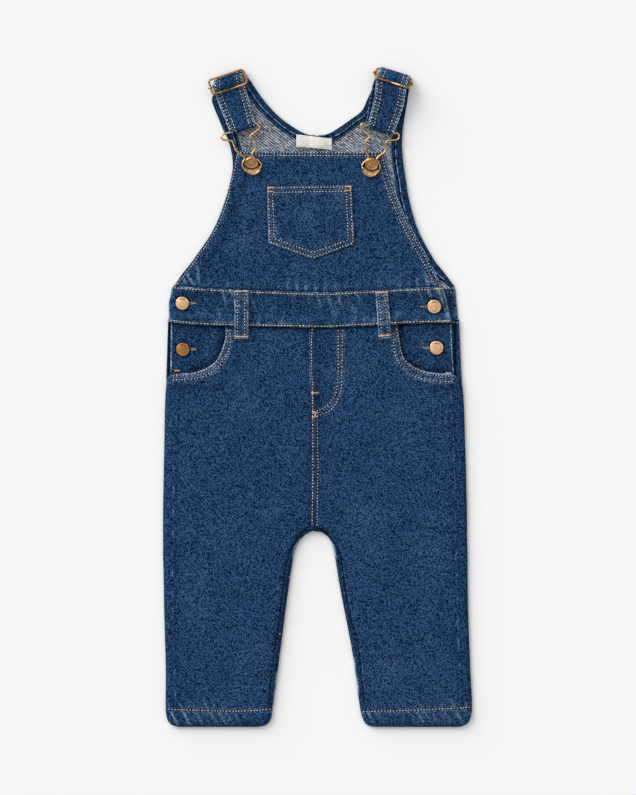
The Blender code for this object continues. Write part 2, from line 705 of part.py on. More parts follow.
def make_straps():
    for side in SIDES:
        start, along, across = strap_axes(side)
        rows = np.array(STRAPS[side])
        counts = [max(1, round(step / 5)) for step in np.linalg.norm(np.diff(rows[:, :2], axis=0), axis=1)]
        rows = edge_curve(rows, counts)
        widths = np.linspace(-1, 1, 4)[None, :, None]
        middle = start + rows[:, :1] * along + rows[:, 2:3] * across
        flat_place = middle[:, None, :] + widths * (rows[:, 3:4] * across)[:, None, :]
        heights = np.repeat(rows[:, 1:2], 4, axis=1)
        bm = sheet_of(np.dstack([flat_place, heights]))
        made = add(f"shoulder_strap_{side}", finish_mesh(bm, f"shoulder_strap_{side}"), "denim")
        thick = made.modifiers.new("wall", "SOLIDIFY")
        thick.thickness = CLOTH * MM
        thick.offset = 0


def make_sliders():
    """A frame of bent wire and, under the strap, a bar whose ends curl round the frame's sides."""
    for side in SIDES:
        slider = SLIDERS[side]
        start, along, across = strap_axes(side)
        centre = start + slider.along * along + slider.aside * across
        place = (
            Matrix.Translation(Vector((*centre, slider.height)))
            @ Matrix.Rotation(math.radians(slider.turn), 4, "Z")
            @ Matrix.Rotation(math.radians(-slider.tip), 4, "X")
        )
        corner = []
        for quarter in range(4):
            sx, sy = ((1, 1), (-1, 1), (-1, -1), (1, -1))[quarter]
            for step in range(5):
                angle = math.radians(90 * quarter + 22.5 * step)
                x = sx * (SLIDER_HALF_WIDTH - SLIDER_CORNER) + SLIDER_CORNER * math.cos(angle)
                y = sy * (SLIDER_HALF_HEIGHT - SLIDER_CORNER) + SLIDER_CORNER * math.sin(angle)
                corner.append(place @ Vector((x, y, 0)))
        wire(f"strap_slider_frame_{side}", corner, SLIDER_WIRE, closed=True)
        curl = SLIDER_WIRE + GAP + SLIDER_BAR
        end = [
            (SLIDER_HALF_WIDTH + curl * math.cos(angle), 0, curl * math.sin(angle))
            for angle in np.radians(np.arange(-90, 111, 25))
        ]
        route = [(-x, y, z) for x, y, z in reversed(end)] + end
        wire(f"strap_slider_bar_{side}", [place @ Vector(p) for p in route], SLIDER_BAR)


for old in list(bpy.data.objects):
    bpy.data.objects.remove(old)
garment = bpy.data.collections.new("kids_dungarees")
cutters = bpy.data.collections.new("cutters")
bpy.context.scene.collection.children.link(garment)
bpy.context.scene.collection.children.link(cutters)
make_back()
make_back_edges()
make_front()
make_side_buttons()
make_hooks()
make_straps()
make_sliders()
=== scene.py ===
import math

import bmesh
import bpy
import numpy as np
from mathutils import Matrix, Vector


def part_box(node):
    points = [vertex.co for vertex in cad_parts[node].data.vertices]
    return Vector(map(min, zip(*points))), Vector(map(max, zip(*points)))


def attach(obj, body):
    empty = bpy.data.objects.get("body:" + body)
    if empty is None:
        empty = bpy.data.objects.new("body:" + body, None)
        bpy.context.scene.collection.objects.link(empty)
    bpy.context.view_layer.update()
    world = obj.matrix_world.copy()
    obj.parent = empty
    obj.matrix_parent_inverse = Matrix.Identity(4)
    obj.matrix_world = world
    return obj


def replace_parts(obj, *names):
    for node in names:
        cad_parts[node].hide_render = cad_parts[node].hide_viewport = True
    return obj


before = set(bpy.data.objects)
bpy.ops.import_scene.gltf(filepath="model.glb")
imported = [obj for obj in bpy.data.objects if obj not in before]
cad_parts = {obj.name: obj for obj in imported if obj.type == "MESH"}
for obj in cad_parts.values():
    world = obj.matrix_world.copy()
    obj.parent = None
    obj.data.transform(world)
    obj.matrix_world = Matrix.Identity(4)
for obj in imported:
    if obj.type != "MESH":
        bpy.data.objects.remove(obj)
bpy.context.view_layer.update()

# The table the garment lies on, a camera straight above it, and soft daylight from the upper left.
# The camera's long lens stands in for a copy stand: nothing on the garment leans with perspective.
VIEW_HEIGHT, CAMERA_AWAY = 0.7155, 4.0
FLOOR_DROP = 0.0006  # m the table top lies below the garment's underside
PAPER_GREY = 0.93
SUN_STRENGTH, SUN_SPREAD, SUN_FROM = 2.6, 48, (-0.66, 0.66, 0.36)
SKY_BRIGHT_FROM, SKY_DARK, SKY_BRIGHT = (-0.45, 0.45, 0.77), 0.03, 0.93
for old in [o for o in bpy.data.objects if o.type in ("CAMERA", "LIGHT")]:
    bpy.data.objects.remove(old)
camera = bpy.data.objects.new("camera", bpy.data.cameras.new("camera"))
bpy.context.scene.collection.objects.link(camera)
camera.location = (0.00045, -0.000675, CAMERA_AWAY)
camera.data.lens = camera.data.sensor_width * CAMERA_AWAY / VIEW_HEIGHT
camera.data.clip_end = 20
bpy.context.scene.camera = camera

floor_mesh = bpy.data.meshes.new("floor")
bm = bmesh.new()
bmesh.ops.create_grid(bm, x_segments=1, y_segments=1, size=6)
bmesh.ops.translate(bm, verts=bm.verts, vec=(0, 0, -FLOOR_DROP))
bm.to_mesh(floor_mesh)
bm.free()
floor = bpy.data.objects.new("floor", floor_mesh)
bpy.context.scene.collection.objects.link(floor)
paper = bpy.data.materials.new("pale_paper")
paper.use_nodes = True
paper_shader = paper.node_tree.nodes["Principled BSDF"]
paper_shader.inputs["Base Color"].default_value = (PAPER_GREY, PAPER_GREY, PAPER_GREY, 1)
paper_shader.inputs["Roughness"].default_value = 1.0
paper_shader.inputs["Specular IOR Level"].default_value = 0.0
floor_mesh.materials.append(paper)

window = bpy.data.objects.new("window", bpy.data.lights.new("window", "SUN"))
bpy.context.scene.collection.objects.link(window)
window.data.energy = SUN_STRENGTH
window.data.angle = math.radians(SUN_SPREAD)
window.rotation_euler = (-Vector(SUN_FROM)).to_track_quat("-Z", "Y").to_euler()
sky = bpy.data.worlds.new("studio")
bpy.context.scene.world = sky
sky.use_nodes = True
sky_nodes, sky_links = sky.node_tree.nodes, sky.node_tree.links
sky_nodes["Background"].inputs["Color"].default_value = (1, 1, 1, 1)
facing = sky_nodes.new("ShaderNodeVectorMath")
facing.operation = "DOT_PRODUCT"
facing.inputs[1].default_value = SKY_BRIGHT_FROM
sky_links.new(sky_nodes.new("ShaderNodeTexCoord").outputs["Generated"], facing.inputs[0])
softbox = sky_nodes.new("ShaderNodeMapRange")
softbox.inputs["From Min"].default_value = -0.9
softbox.inputs["To Min"].default_value = SKY_DARK
softbox.inputs["To Max"].default_value = SKY_BRIGHT
sky_links.new(facing.outputs["Value"], softbox.inputs["Value"])
sky_links.new(softbox.outputs["Result"], sky_nodes["Background"].inputs["Strength"])
bpy.context.scene.view_settings.view_transform = "Standard"

# Back legs: two panels of indigo denim, right side down on the table, their grey wrong side up inside
# the garment. They show at the hips beside the side openings, and along the inseams, where painted shade
# darkens them within a few mm of their edges, beside the front that lies over them.
DENIM_THICK = 0.9
SEAM_PUCKER = 10.5  # mm from one pucker to the next along a sewn edge


def new_finish(name):
    """A new material: itself, its nodes and links, its shader, and the object's own coordinates."""
    made = bpy.data.materials.new(name)
    made.use_nodes = True
    nodes = made.node_tree.nodes
    place = nodes.new("ShaderNodeTexCoord").outputs["Object"]
    return made, nodes, made.node_tree.links, nodes["Principled BSDF"], place


def roughen(nodes, links, shader, height, strength, distance):
    """Bump from a height output, its depth in m."""
    bump = nodes.new("ShaderNodeBump")
    bump.inputs["Strength"].default_value = strength
    bump.inputs["Distance"].default_value = distance
    links.new(height, bump.inputs["Height"])
    links.new(bump.outputs["Normal"], shader.inputs["Normal"])


def shade(nodes, links, first, second, factor):
    """Mixes two colours, or a colour node's output and a colour, by a factor output."""
    mix = nodes.new("ShaderNodeMix")
    mix.data_type = "RGBA"
    for socket, value in ((mix.inputs[6], first), (mix.inputs[7], second)):
        if isinstance(value, tuple):
            socket.default_value = value
        else:
            links.new(value, socket)
    links.new(factor, mix.inputs[0])
    return mix.outputs[2]


def scaled(nodes, links, value, low, high, to_low=0.0, to_high=1.0):
    """A value moved from one range to another and held there."""
    node = nodes.new("ShaderNodeMapRange")
    links.new(value, node.inputs["Value"])
    node.inputs["From Min"].default_value = low
    node.inputs["From Max"].default_value = high
    node.inputs["To Min"].default_value = to_low
    node.inputs["To Max"].default_value = to_high
    return node.outputs["Result"]


def sums(nodes, links, operation, first, second):
    """One step of arithmetic on two outputs or numbers."""
    node = nodes.new("ShaderNodeMath")
    node.operation = operation
    for socket, value in zip(node.inputs, (first, second)):
        if isinstance(value, (int, float)):
            socket.default_value = value
        else:
            links.new(value, socket)
    return node.outputs[0]


def weighed(nodes, links, value, weight):
    """A 0 to 1 output moved to lie evenly about zero, times a weight."""
    part = sums(nodes, links, "MULTIPLY_ADD", value, weight)
    part.node.inputs[2].default_value = -0.5 * weight
    return part


def speckle(nodes, links, place, scale, detail=2.0):
    """Soft noise; a scale of 1000 puts a grain in each mm."""
    noise = nodes.new("ShaderNodeTexNoise")
    noise.inputs["Scale"].default_value = scale
    noise.inputs["Detail"].default_value = detail
    noise.inputs["Roughness"].default_value = 0.6
    links.new(place, noise.inputs["Vector"])
    return noise.outputs["Fac"]


def woven(name, dark, middle, light, worn, spread=1.0, twill_turn=-42.0, stretch_by=0.85, ribbed=0.3):
    """Twill cloth: grainy yarn colour, fine slanting ribs, and an attribute that fades it towards the worn
    colour above zero and darkens it with painted shade below zero.
    """
    made, nodes, links, shader, place = new_finish(name)
    turn = nodes.new("ShaderNodeMapping")
    turn.inputs["Rotation"].default_value = (0, 0, math.radians(-twill_turn))
    links.new(place, turn.inputs["Vector"])
    stretch = nodes.new("ShaderNodeMapping")
    stretch.inputs["Scale"].default_value = (stretch_by, 1.1, 1.0)
    links.new(turn.outputs["Vector"], stretch.inputs["Vector"])
    grain = speckle(nodes, links, stretch.outputs["Vector"], 1120, 0.0)
    yarns = nodes.new("ShaderNodeTexVoronoi")
    yarns.inputs["Scale"].default_value = 1650
    links.new(stretch.outputs["Vector"], yarns.inputs["Vector"])
    parted = nodes.new("ShaderNodeSeparateColor")
    links.new(yarns.outputs["Color"], parted.inputs["Color"])
    cloud = speckle(nodes, links, place, 60, 3.0)
    ribs = nodes.new("ShaderNodeTexWave")
    ribs.bands_direction = "Y"
    ribs.inputs["Scale"].default_value = 160
    ribs.inputs["Distortion"].default_value = 2.8
    ribs.inputs["Detail"].default_value = 1.0
    ribs.inputs["Detail Scale"].default_value = 2.0
    links.new(turn.outputs["Vector"], ribs.inputs["Vector"])
    field = nodes.new("ShaderNodeAttribute")
    field.attribute_name = "wear_and_painted_shade"
    wear_and_painted_shade = field.outputs["Fac"]
    yarn = sums(
        nodes, links, "ADD", weighed(nodes, links, grain, 0.3 * spread),
        weighed(nodes, links, parted.outputs["Red"], 1.7 * spread),
    )
    cast = sums(
        nodes, links, "ADD", weighed(nodes, links, cloud, 0.10), weighed(nodes, links, ribs.outputs["Fac"], ribbed)
    )
    tone = sums(nodes, links, "ADD", yarn, cast)
    below = shade(nodes, links, middle, dark, scaled(nodes, links, tone, 0.0, -0.42))
    colour = shade(nodes, links, below, light, scaled(nodes, links, tone, 0.0, 0.42))
    broken = sums(nodes, links, "MULTIPLY", wear_and_painted_shade, scaled(nodes, links, tone, -0.5, 0.5, 0.1, 1.9))
    colour = shade(nodes, links, colour, worn, scaled(nodes, links, broken, 0.0, 1.0, 0.0, 0.95))
    # Below zero the attribute is painted shade, with a slightly darker tone in places: it darkens the cloth towards a
    # deep yarn colour.
    painted_shade_amount = sums(nodes, links, "MULTIPLY", wear_and_painted_shade, -1.0)
    painted_shade_colour = tuple(c * 0.3 for c in dark[:3]) + (1,)
    colour = shade(nodes, links, colour, painted_shade_colour, scaled(nodes, links, painted_shade_amount, 0.0, 1.0))
    links.new(colour, shader.inputs["Base Color"])
    shader.inputs["Roughness"].default_value = 0.9
    shader.inputs["Specular IOR Level"].default_value = 0.03
    shader.inputs["Sheen Weight"].default_value = 0.01
    shader.inputs["Sheen Roughness"].default_value = 0.5
    height = sums(nodes, links, "ADD", sums(nodes, links, "MULTIPLY", grain, 1.4), ribs.outputs["Fac"])
    roughen(nodes, links, shader, height, 0.45, 0.0002)
    return made


INDIGO_DARK = (0.0007, 0.0062, 0.0290, 1)
INDIGO = (0.0028, 0.0200, 0.0700, 1)
INDIGO_LIGHT = (0.0395, 0.1080, 0.2310, 1)
INDIGO_WORN = (0.3200, 0.4900, 0.6600, 1)
denim = woven("indigo_denim", INDIGO_DARK, INDIGO, INDIGO_LIGHT, INDIGO_WORN)
denim_inside = woven(
    "denim_wrong_side", (0.045, 0.055, 0.080, 1), (0.140, 0.165, 0.210, 1),
    (0.46, 0.49, 0.54, 1), (0.50, 0.55, 0.62, 1), spread=0.9, twill_turn=-38.0, stretch_by=0.32, ribbed=1.15,
)

PILE_STEP = 1.0  # mm between the height samples of what has been laid so far
PILE_EDGE = np.array([-150.0, -310.0])
pile = np.zeros((620, 300))


def hill(away, width):
    """1 at zero, falling off on both sides within about width."""
    return np.exp(-((away / width) ** 2))


def fall(beyond, reach):
    """1 up to zero, then dying away over about reach."""
    return np.exp(-np.clip(beyond, 0, 99) / reach)


def pile_at(heights, places):
    """The height of a sampled surface at each place, in mm."""
    at = np.clip((places[:, :2] - PILE_EDGE) / PILE_STEP, 0, np.array(heights.T.shape) - 1.001)
    low = at.astype(int)
    part = at - low
    x, y = low.T
    near = heights[y, x] * (1 - part[:, 0]) + heights[y, x + 1] * part[:, 0]
    far = heights[y + 1, x] * (1 - part[:, 0]) + heights[y + 1, x + 1] * part[:, 0]
    return near * (1 - part[:, 1]) + far * part[:, 1]


def spread_out(heights, widen, soften):
    """The surface a piece of cloth takes over what is laid: raised edges bridged, then rounded."""
    for _ in range(widen):
        padded = np.pad(heights, 1, mode="edge")
        beside = [padded[:-2, 1:-1], padded[2:, 1:-1], padded[1:-1, :-2], padded[1:-1, 2:]]
        heights = np.max([*beside, heights], axis=0)
    for _ in range(soften):
        padded = np.pad(heights, 1, mode="edge")
        heights = (padded[:-2, 1:-1] + padded[2:, 1:-1] + padded[1:-1, :-2] + padded[1:-1, 2:] + 2 * heights) / 6
    return heights


def smooth_line(points, step=1.0):
    """Evenly spaced points on a smooth curve through a few given ones, in mm."""
    p = np.array(points, float)
    if len(p) == 2:
        count = max(2, int(np.linalg.norm(p[1] - p[0]) / step) + 1)
        return p[0] + (p[1] - p[0]) * np.linspace(0, 1, count)[:, None]
    chord = np.linalg.norm(np.diff(p, axis=0), axis=1)
    ends = np.vstack([2 * p[0] - p[1], p, 2 * p[-1] - p[-2]])
    fine = []
    for i in range(len(p) - 1):
        t = np.linspace(0, 1, max(3, int(chord[i] / step * 2)), endpoint=False)[:, None]
        a, b, c, d = ends[i], ends[i + 1], ends[i + 2], ends[i + 3]
        fine.append(0.5 * (2 * b + (c - a) * t + (2 * a - 5 * b + 4 * c - d) * t**2 + (3 * b - a - 3 * c + d) * t**3))
    fine = np.vstack([*fine, p[-1:]])
    run = np.concatenate([[0], np.cumsum(np.linalg.norm(np.diff(fine, axis=0), axis=1))])
    even = np.linspace(0, run[-1], max(2, int(run[-1] / step) + 1))
    return np.column_stack([np.interp(even, run, fine[:, k]) for k in range(p.shape[1])])


def from_line(places, line):
    """Each place's distance from a line of close points, and how far along the line it is."""
    best = np.full(len(places), 1e9)
    along = np.zeros(len(places))
    step = np.linalg.norm(np.diff(line, axis=0), axis=1)
    run = np.concatenate([[0], np.cumsum(step)])
    low, high = line.min(0) - 25, line.max(0) + 25
    close = np.where(((places > low) & (places < high)).all(axis=1))[0]
    for i, start in enumerate(line):
        away = np.hypot(places[close, 0] - start[0], places[close, 1] - start[1])
        nearer = away < best[close]
        best[close[nearer]] = away[nearer]
        along[close[nearer]] = run[i]
    return best, along


def ripple(along, seed, length):
    """An uneven wave along a seam, from -1 to 1."""
    phase = seed * 1.7
    wave = np.sin(2 * np.pi * along / length + phase + 1.3 * np.sin(along / (length * 2.3) + seed))
    return wave * (0.65 + 0.35 * np.sin(along / (length * 1.7) + 2.1 * seed))


def patches(places, size, seed):
    """A soft uneven field over the cloth, from -1 to 1."""
    x, y = places[:, 0] / size, places[:, 1] / size
    turns = ((0.3, 1.0), (1.9, 1.37), (3.6, 0.71), (5.1, 1.83), (0.9, 2.3))
    total = sum(
        np.sin((x * math.cos(a + seed) + y * math.sin(a + seed)) * f * 2.2 + 5 * seed + 3 * a)
        for a, f in turns
    )
    return total / 3.2


def edge_curve(points, counts):
    """A smooth curve through the points, with counts[i] steps between point i and the next."""
    p = np.array(points, float)
    chord = np.linalg.norm(np.diff(p, axis=0), axis=1)[:, None]
    slope = np.diff(p, axis=0) / chord
    middle = (p[2:] - p[:-2]) / (chord[:-1] + chord[1:])
    tangent = np.vstack([slope[:1], middle, slope[-1:]])
    curve = []
    for i, count in enumerate(counts):
        t = (np.arange(count) / count)[:, None]
        curve.append(
            (2 * t**3 - 3 * t**2 + 1) * p[i] + (t**3 - 2 * t**2 + t) * chord[i] * tangent[i]
            + (3 * t**2 - 2 * t**3) * p[i + 1] + (t**3 - t**2) * chord[i] * tangent[i + 1]
        )
    return np.vstack([*curve, p[-1:]])


def fine_sheet(name, sections, cell, straight=False):
    """A flat sheet of small four-sided faces between the piece's two long edges, given in mm as
    (edge x, edge y, inner x, inner y) for each section across it."""
    rows = np.array(sections, float)
    edge, inner = rows[:, :2], rows[:, 2:]
    span = np.maximum(np.linalg.norm(np.diff(edge, axis=0), axis=1), np.linalg.norm(np.diff(inner, axis=0), axis=1))
    counts = np.maximum(2, np.ceil(span / cell)).astype(int)
    if straight:
        parts = [(np.arange(n) / n)[:, None] for n in counts]
        first, last = (
            np.vstack([*(p[i] + t * (p[i + 1] - p[i]) for i, t in enumerate(parts)), p[-1:]]) for p in (edge, inner)
        )
    else:
        first, last = edge_curve(edge, counts), edge_curve(inner, counts)
    columns = max(3, math.ceil(np.linalg.norm(first - last, axis=1).mean() / cell))
    across = np.linspace(0, 1, columns + 1)[None, :, None]
    flat = first[:, None, :] * (1 - across) + last[:, None, :] * across
    bm = bmesh.new()
    bmesh.ops.create_grid(bm, x_segments=columns, y_segments=len(first) - 1, size=1)
    bm.verts.ensure_lookup_table()
    for vert, spot in zip(bm.verts, flat.reshape(-1, 2)):
        vert.co = (*(spot / 1000), 0)
    bm.normal_update()
    if sum(face.normal.z for face in bm.faces) < 0:
        bmesh.ops.reverse_faces(bm, faces=bm.faces)
    mesh = bpy.data.meshes.new(name)
    bm.to_mesh(mesh)
    bm.free()
    return mesh


def edge_places(mesh):
    """The numbers of the vertices along a fine sheet's free edges."""
    count = np.zeros(len(mesh.edges), int)
    loops = np.empty(len(mesh.loops), np.int32)
    mesh.loops.foreach_get("edge_index", loops)
    np.add.at(count, loops, 1)
    ends = np.empty(len(mesh.edges) * 2, np.int32)
    mesh.edges.foreach_get("vertices", ends)
    return np.unique(ends.reshape(-1, 2)[count == 1])


def nearest(places, marks, reach=30.0):
    """Each place's distance from the nearest of the marks, in mm, no more than reach."""
    best = np.full(len(places), reach)
    cell = 6.0
    keys = np.floor(marks / cell).astype(int)
    for key in np.unique(keys, axis=0):
        own = marks[(keys == key).all(axis=1)]
        middle = (key + 0.5) * cell
        close = np.where((np.abs(places - middle) < reach + cell).all(axis=1))[0]
        if len(close):
            away = np.hypot(places[close, None, 0] - own[None, :, 0], places[close, None, 1] - own[None, :, 1])
            best[close] = np.minimum(best[close], away.min(axis=1))
    return best


def laid(
    name, sections, cell, thick=DENIM_THICK, bridge=(2, 4), rows=(), lift=None, fade=None,
    edge_fade=0.4, shift=None, straight=False,
):
    """The sheet of a piece of cloth laid on the pile. It rests on what is below, is drawn in along its
    sewn rows, darkened in their grooves with painted shade and paler beside them, rises by lift, and is faded
    and darkened with painted shade by its fade function. rows holds (points, depth, paleness)."""
    mesh = fine_sheet(name, sections, cell, straight)
    co = np.empty(len(mesh.vertices) * 3, np.float32)
    mesh.vertices.foreach_get("co", co)
    co = co.reshape(-1, 3).astype(float) * 1000
    if shift:
        co[:, :2] += shift(co[:, :2])
    places = co[:, :2]
    inward = nearest(places, places[edge_places(mesh)], 26.0)
    rise = lift(places, inward) if lift else np.zeros(len(places))
    edge = edge_fade(places) if callable(edge_fade) else edge_fade
    paler = edge * hill(inward, 0.8) * (0.75 + 0.45 * patches(places, 7, len(name) * 0.7))
    for seed, (line, depth, paleness) in enumerate(rows):
        away, along = from_line(places, smooth_line(line))
        wave = ripple(along, seed + len(name), 4.6)
        rise -= depth * hill(away, 0.75)
        rise += 0.35 * depth * wave * hill(away, 2.6)
        paler += paleness * (0.45 + 0.55 * wave) * hill(away - 1.3, 0.8)
        # painted shade along the row's groove
        paler -= 0.55 * hill(away, 0.75)
    if fade:
        paler += fade(places, inward)
    under = pile_at(spread_out(pile, *bridge), places)
    co[:, 2] = under + 0.06 + thick + np.maximum(rise, -0.08)
    mesh.vertices.foreach_set("co", (co / 1000).astype(np.float32).ravel())
    field = mesh.attributes.new("wear_and_painted_shade", "FLOAT", "POINT")
    field.data.foreach_set("value", np.clip(paler, -1, 1).astype(np.float32))
    mesh.polygons.foreach_set("use_smooth", [True] * len(mesh.polygons))
    top_of_pile(mesh, co)
    return mesh


def lay_cloth(name, sections, cell, node, thick=DENIM_THICK, slots=None, **how):
    """A whole piece of cloth, laid, of small faces cell mm wide, standing for its CAD node."""
    return cloth_piece(name, laid(name, sections, cell, thick, **how), thick, slots, node)


def one_sheet(halves):
    """Two sheets that meet along an edge, made one."""
    bm = bmesh.new()
    for half in halves:
        bm.from_mesh(half)
    bmesh.ops.remove_doubles(bm, verts=bm.verts, dist=0.0002)
    bm.to_mesh(halves[0])
    bm.free()
    return halves[0]


def cloth_piece(name, mesh, thick, slots, *nodes):
    """A fine sheet given its thickness, right side out, standing for its CAD solid."""
    for slot in slots or (denim, denim_inside):
        mesh.materials.append(slot)
    made = bpy.data.objects.new(name, mesh)
    bpy.context.scene.collection.objects.link(made)
    wall = made.modifiers.new("wall", "SOLIDIFY")
    wall.thickness = thick / 1000
    wall.offset = -1
    wall.material_offset = 1
    wall.material_offset_rim = 0
    rim = made.modifiers.new("rounded_rim", "BEVEL")
    rim.width = 0.0003
    rim.segments = 2
    rim.limit_method = "ANGLE"
    rim.angle_limit = math.radians(55)
    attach(made, "root")
    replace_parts(made, *nodes)
    return made


def top_of_pile(mesh, co):
    """Raises the pile to the top of the piece just laid."""
    corners = np.empty(len(mesh.loops), np.int32)
    mesh.loops.foreach_get("vertex_index", corners)
    a, b, c, d = (co[corners.reshape(-1, 4)[:, k]] for k in range(4))
    for u in np.linspace(0.06, 0.94, 5):
        for v in np.linspace(0.06, 0.94, 5):
            spot = a * (1 - u) * (1 - v) + b * u * (1 - v) + c * u * v + d * (1 - u) * v
            cell = np.round((spot[:, :2] - PILE_EDGE) / PILE_STEP).astype(int)
            np.maximum.at(pile, (cell[:, 1], cell[:, 0]), spot[:, 2])


LEG_OUTLINES = {  # from the hip down: side seam, then centre seam, crotch and inseam
    "right": (
        (-136.0, 11.5, -5.5, -24.5), (-138.0, -49.5, -5.5, -79.5), (-139.0, -106.5, -6.2, -111.5),
        (-139.0, -124.5, -6.6, -120.2), (-139.0, -134.0, -11.0, -123.8), (-139.0, -143.5, -16.5, -130.2),
        (-138.5, -160.5, -21.0, -141.5), (-138.0, -192.0, -26.5, -175.5), (-136.5, -246.0, -35.0, -240.5),
        (-136.5, -282.0, -40.5, -282.0), (-134.9, -290.8, -42.2, -290.4), (-131.2, -295.2, -46.0, -295.0),
        (-124.5, -297.0, -52.5, -297.0),
    ),
    "left": (
        (130.0, 11.5, -5.0, -24.5), (133.0, -49.5, -5.0, -79.5), (134.5, -106.5, -4.8, -111.5),
        (134.5, -124.5, -4.2, -120.0), (134.8, -134.0, 4.0, -122.0), (135.0, -143.5, 11.0, -128.0),
        (135.0, -160.5, 15.0, -140.5), (135.5, -192.0, 19.5, -167.5), (137.5, -246.0, 32.0, -234.0),
        (139.0, -280.0, 38.8, -283.5), (137.6, -289.0, 41.5, -291.5), (134.6, -294.2, 45.6, -295.6),
        (128.0, -297.0, 51.5, -297.0),
    ),
}
BACK_HIPS = {
    "right": ((-134.5, 65.2, -5.5, 65.2), (-136.0, 19.5, -5.5, 6.0)),
    "left": ((127.5, 65.2, -5.0, 65.2), (129.5, 19.5, -5.0, 6.0)),
}
for side in ("right", "left"):
    leg = lay_cloth(
        f"back_leg_{side}_cloth", BACK_HIPS[side] + LEG_OUTLINES[side], 4.5, f"back_leg_{side}",
        slots=(denim_inside, denim), edge_fade=0.9, fade=lambda places, inward: -1.6 * hill(inward, 6),
    )

# Back waistband: one band of denim across the small of the back, between the legs and the bib.
# Only its end shows, past the front's edge on the wearer's left, with a painted shadow beside that edge.
BACK_BAND_SECTIONS = (
    (-131.5, 97.0, -134.5, 65.5), (-70.0, 95.8, -70.0, 65.5), (-0.5, 94.5, -0.5, 65.5),
    (60.0, 95.8, 60.0, 65.5), (124.0, 97.0, 127.0, 65.5),
)
band = lay_cloth(
    "back_waistband_cloth", BACK_BAND_SECTIONS, 1.6, "back_waistband", slots=(denim, denim),
    rows=[([(112, 94.9), (123.6, 93.6)], 0.25, 0.2), ([(118, 67.6), (126.0, 66.9)], 0.25, 0.2)],
    fade=lambda places, inward: 0.12 * patches(places, 8, 1.3) - 0.5 * hill(places[:, 0] - 119.5, 2.2),
)

# Back bib: the back panel with its two shoulder arms, lying wrong side up, so the twill's grey side
# shows between the neck edge and the front bib. The table side is indigo.
BACK_HALVES = {  # from the waist up: armhole, then the middle of the back and the neck
    "right": (
        (-131.5, 97.4, -0.5, 94.9), (-112.0, 123.0, -0.5, 132.0), (-94.0, 150.0, -0.5, 172.5),
        (-83.0, 177.0, -0.5, 204.0), (-76.5, 204.0, -0.5, 225.5), (-76.5, 222.0, -0.5, 234.5),
        (-80.5, 231.5, -9.0, 236.0), (-85.0, 240.0, -17.5, 240.0), (-88.5, 249.0, -31.0, 249.0),
        (-92.0, 258.0, -41.0, 258.0),
        (-95.0, 267.0, -50.0, 269.0), (-89.6, 278.4, -62.2, 287.7),
    ),
    "left": (
        (124.0, 97.4, -0.5, 94.9), (105.0, 123.0, -0.5, 132.0), (90.5, 150.0, -0.5, 172.5),
        (82.5, 177.0, -0.5, 204.0), (78.0, 204.0, -0.5, 225.5), (76.0, 222.0, -0.5, 234.5),
        (76.2, 231.0, 7.8, 236.0), (76.5, 238.5, 16.0, 240.0), (78.0, 249.0, 29.0, 249.0), (79.5, 258.0, 39.5, 257.0),
        (81.0, 267.0, 45.0, 268.0), (82.6, 281.1, 56.0, 288.9),
    ),
}
halves = [
    laid(
        f"back_bib_{side}", BACK_HALVES[side], 2.2, edge_fade=0.0,
        lift=lambda places, inward: 0.12 * patches(places, 26, 0.4) * np.clip((190 - places[:, 1]) / 9, 0, 1),
        fade=lambda places, inward: 0.10 * patches(places, 14, 2.0),
    )
    for side in ("right", "left")
]
back = cloth_piece("back_bib_cloth", one_sheet(halves), DENIM_THICK, (denim_inside, denim), "back_bib")

# Turned edges of the back bib: denim folded in along the neck and both armholes and stitched down in
# indigo thread. The sewn line sits near the turned-in edge and has worn pale beside it; painted shade
# darkens the line itself, and the strip is a darker tone overall.
NECK_EDGES = (  # neck edge, then the turned-in edge
    (-61.0, 284.5, -69.0, 281.0), (-50.0, 269.0, -57.5, 264.0), (-40.5, 258.0, -47.0, 252.0),
    (-31.0, 249.0, -36.5, 242.5), (-17.5, 240.0, -21.0, 232.5), (-9.0, 236.0, -10.8, 227.9),
    (-0.5, 234.5, -0.5, 226.0), (7.8, 236.0, 9.8, 227.9), (16.0, 240.0, 20.0, 232.5),
    (29.0, 249.0, 34.0, 242.5), (39.5, 257.0, 46.5, 252.0), (45.0, 268.0, 53.0, 265.5),
    (52.5, 285.0, 60.5, 282.0),
)
ARMHOLE_EDGES = {
    "right": (
        (-92.5, 274.5, -84.0, 270.5), (-95.0, 267.0, -85.5, 265.0), (-88.5, 249.0, -79.0, 250.5),
        (-80.5, 231.0, -71.0, 232.0), (-76.5, 213.0, -67.0, 212.0), (-77.5, 195.0, -68.0, 192.5),
        (-83.0, 177.0, -74.0, 173.5), (-94.0, 150.0, -86.0, 144.5), (-112.0, 123.0, -105.0, 116.5),
        (-124.5, 107.0, -116.5, 99.5),
    ),
    "left": (
        (83.0, 279.5, 73.5, 281.0), (81.0, 267.0, 71.0, 268.0), (78.0, 249.0, 68.0, 250.0),
        (76.0, 231.0, 66.5, 231.0), (77.0, 213.0, 67.0, 212.0), (79.5, 195.0, 70.0, 193.0),
        (82.5, 177.0, 73.0, 174.0), (90.5, 150.0, 82.5, 145.0), (105.0, 123.0, 97.0, 116.5),
        (113.5, 112.3, 105.5, 107.5), (119.5, 104.3, 113.5, 102.6), (123.5, 98.9, 120.0, 98.5),
    ),
}
NECK_SEW_LINE = [
    (-66.5, 282.0), (-55.4, 265.3), (-45.0, 253.8), (-34.8, 244.7), (-20.0, 234.8), (-0.5, 228.6),
    (18.8, 234.8), (32.4, 244.6), (44.3, 253.7), (50.5, 266.4), (58.0, 283.0),
]
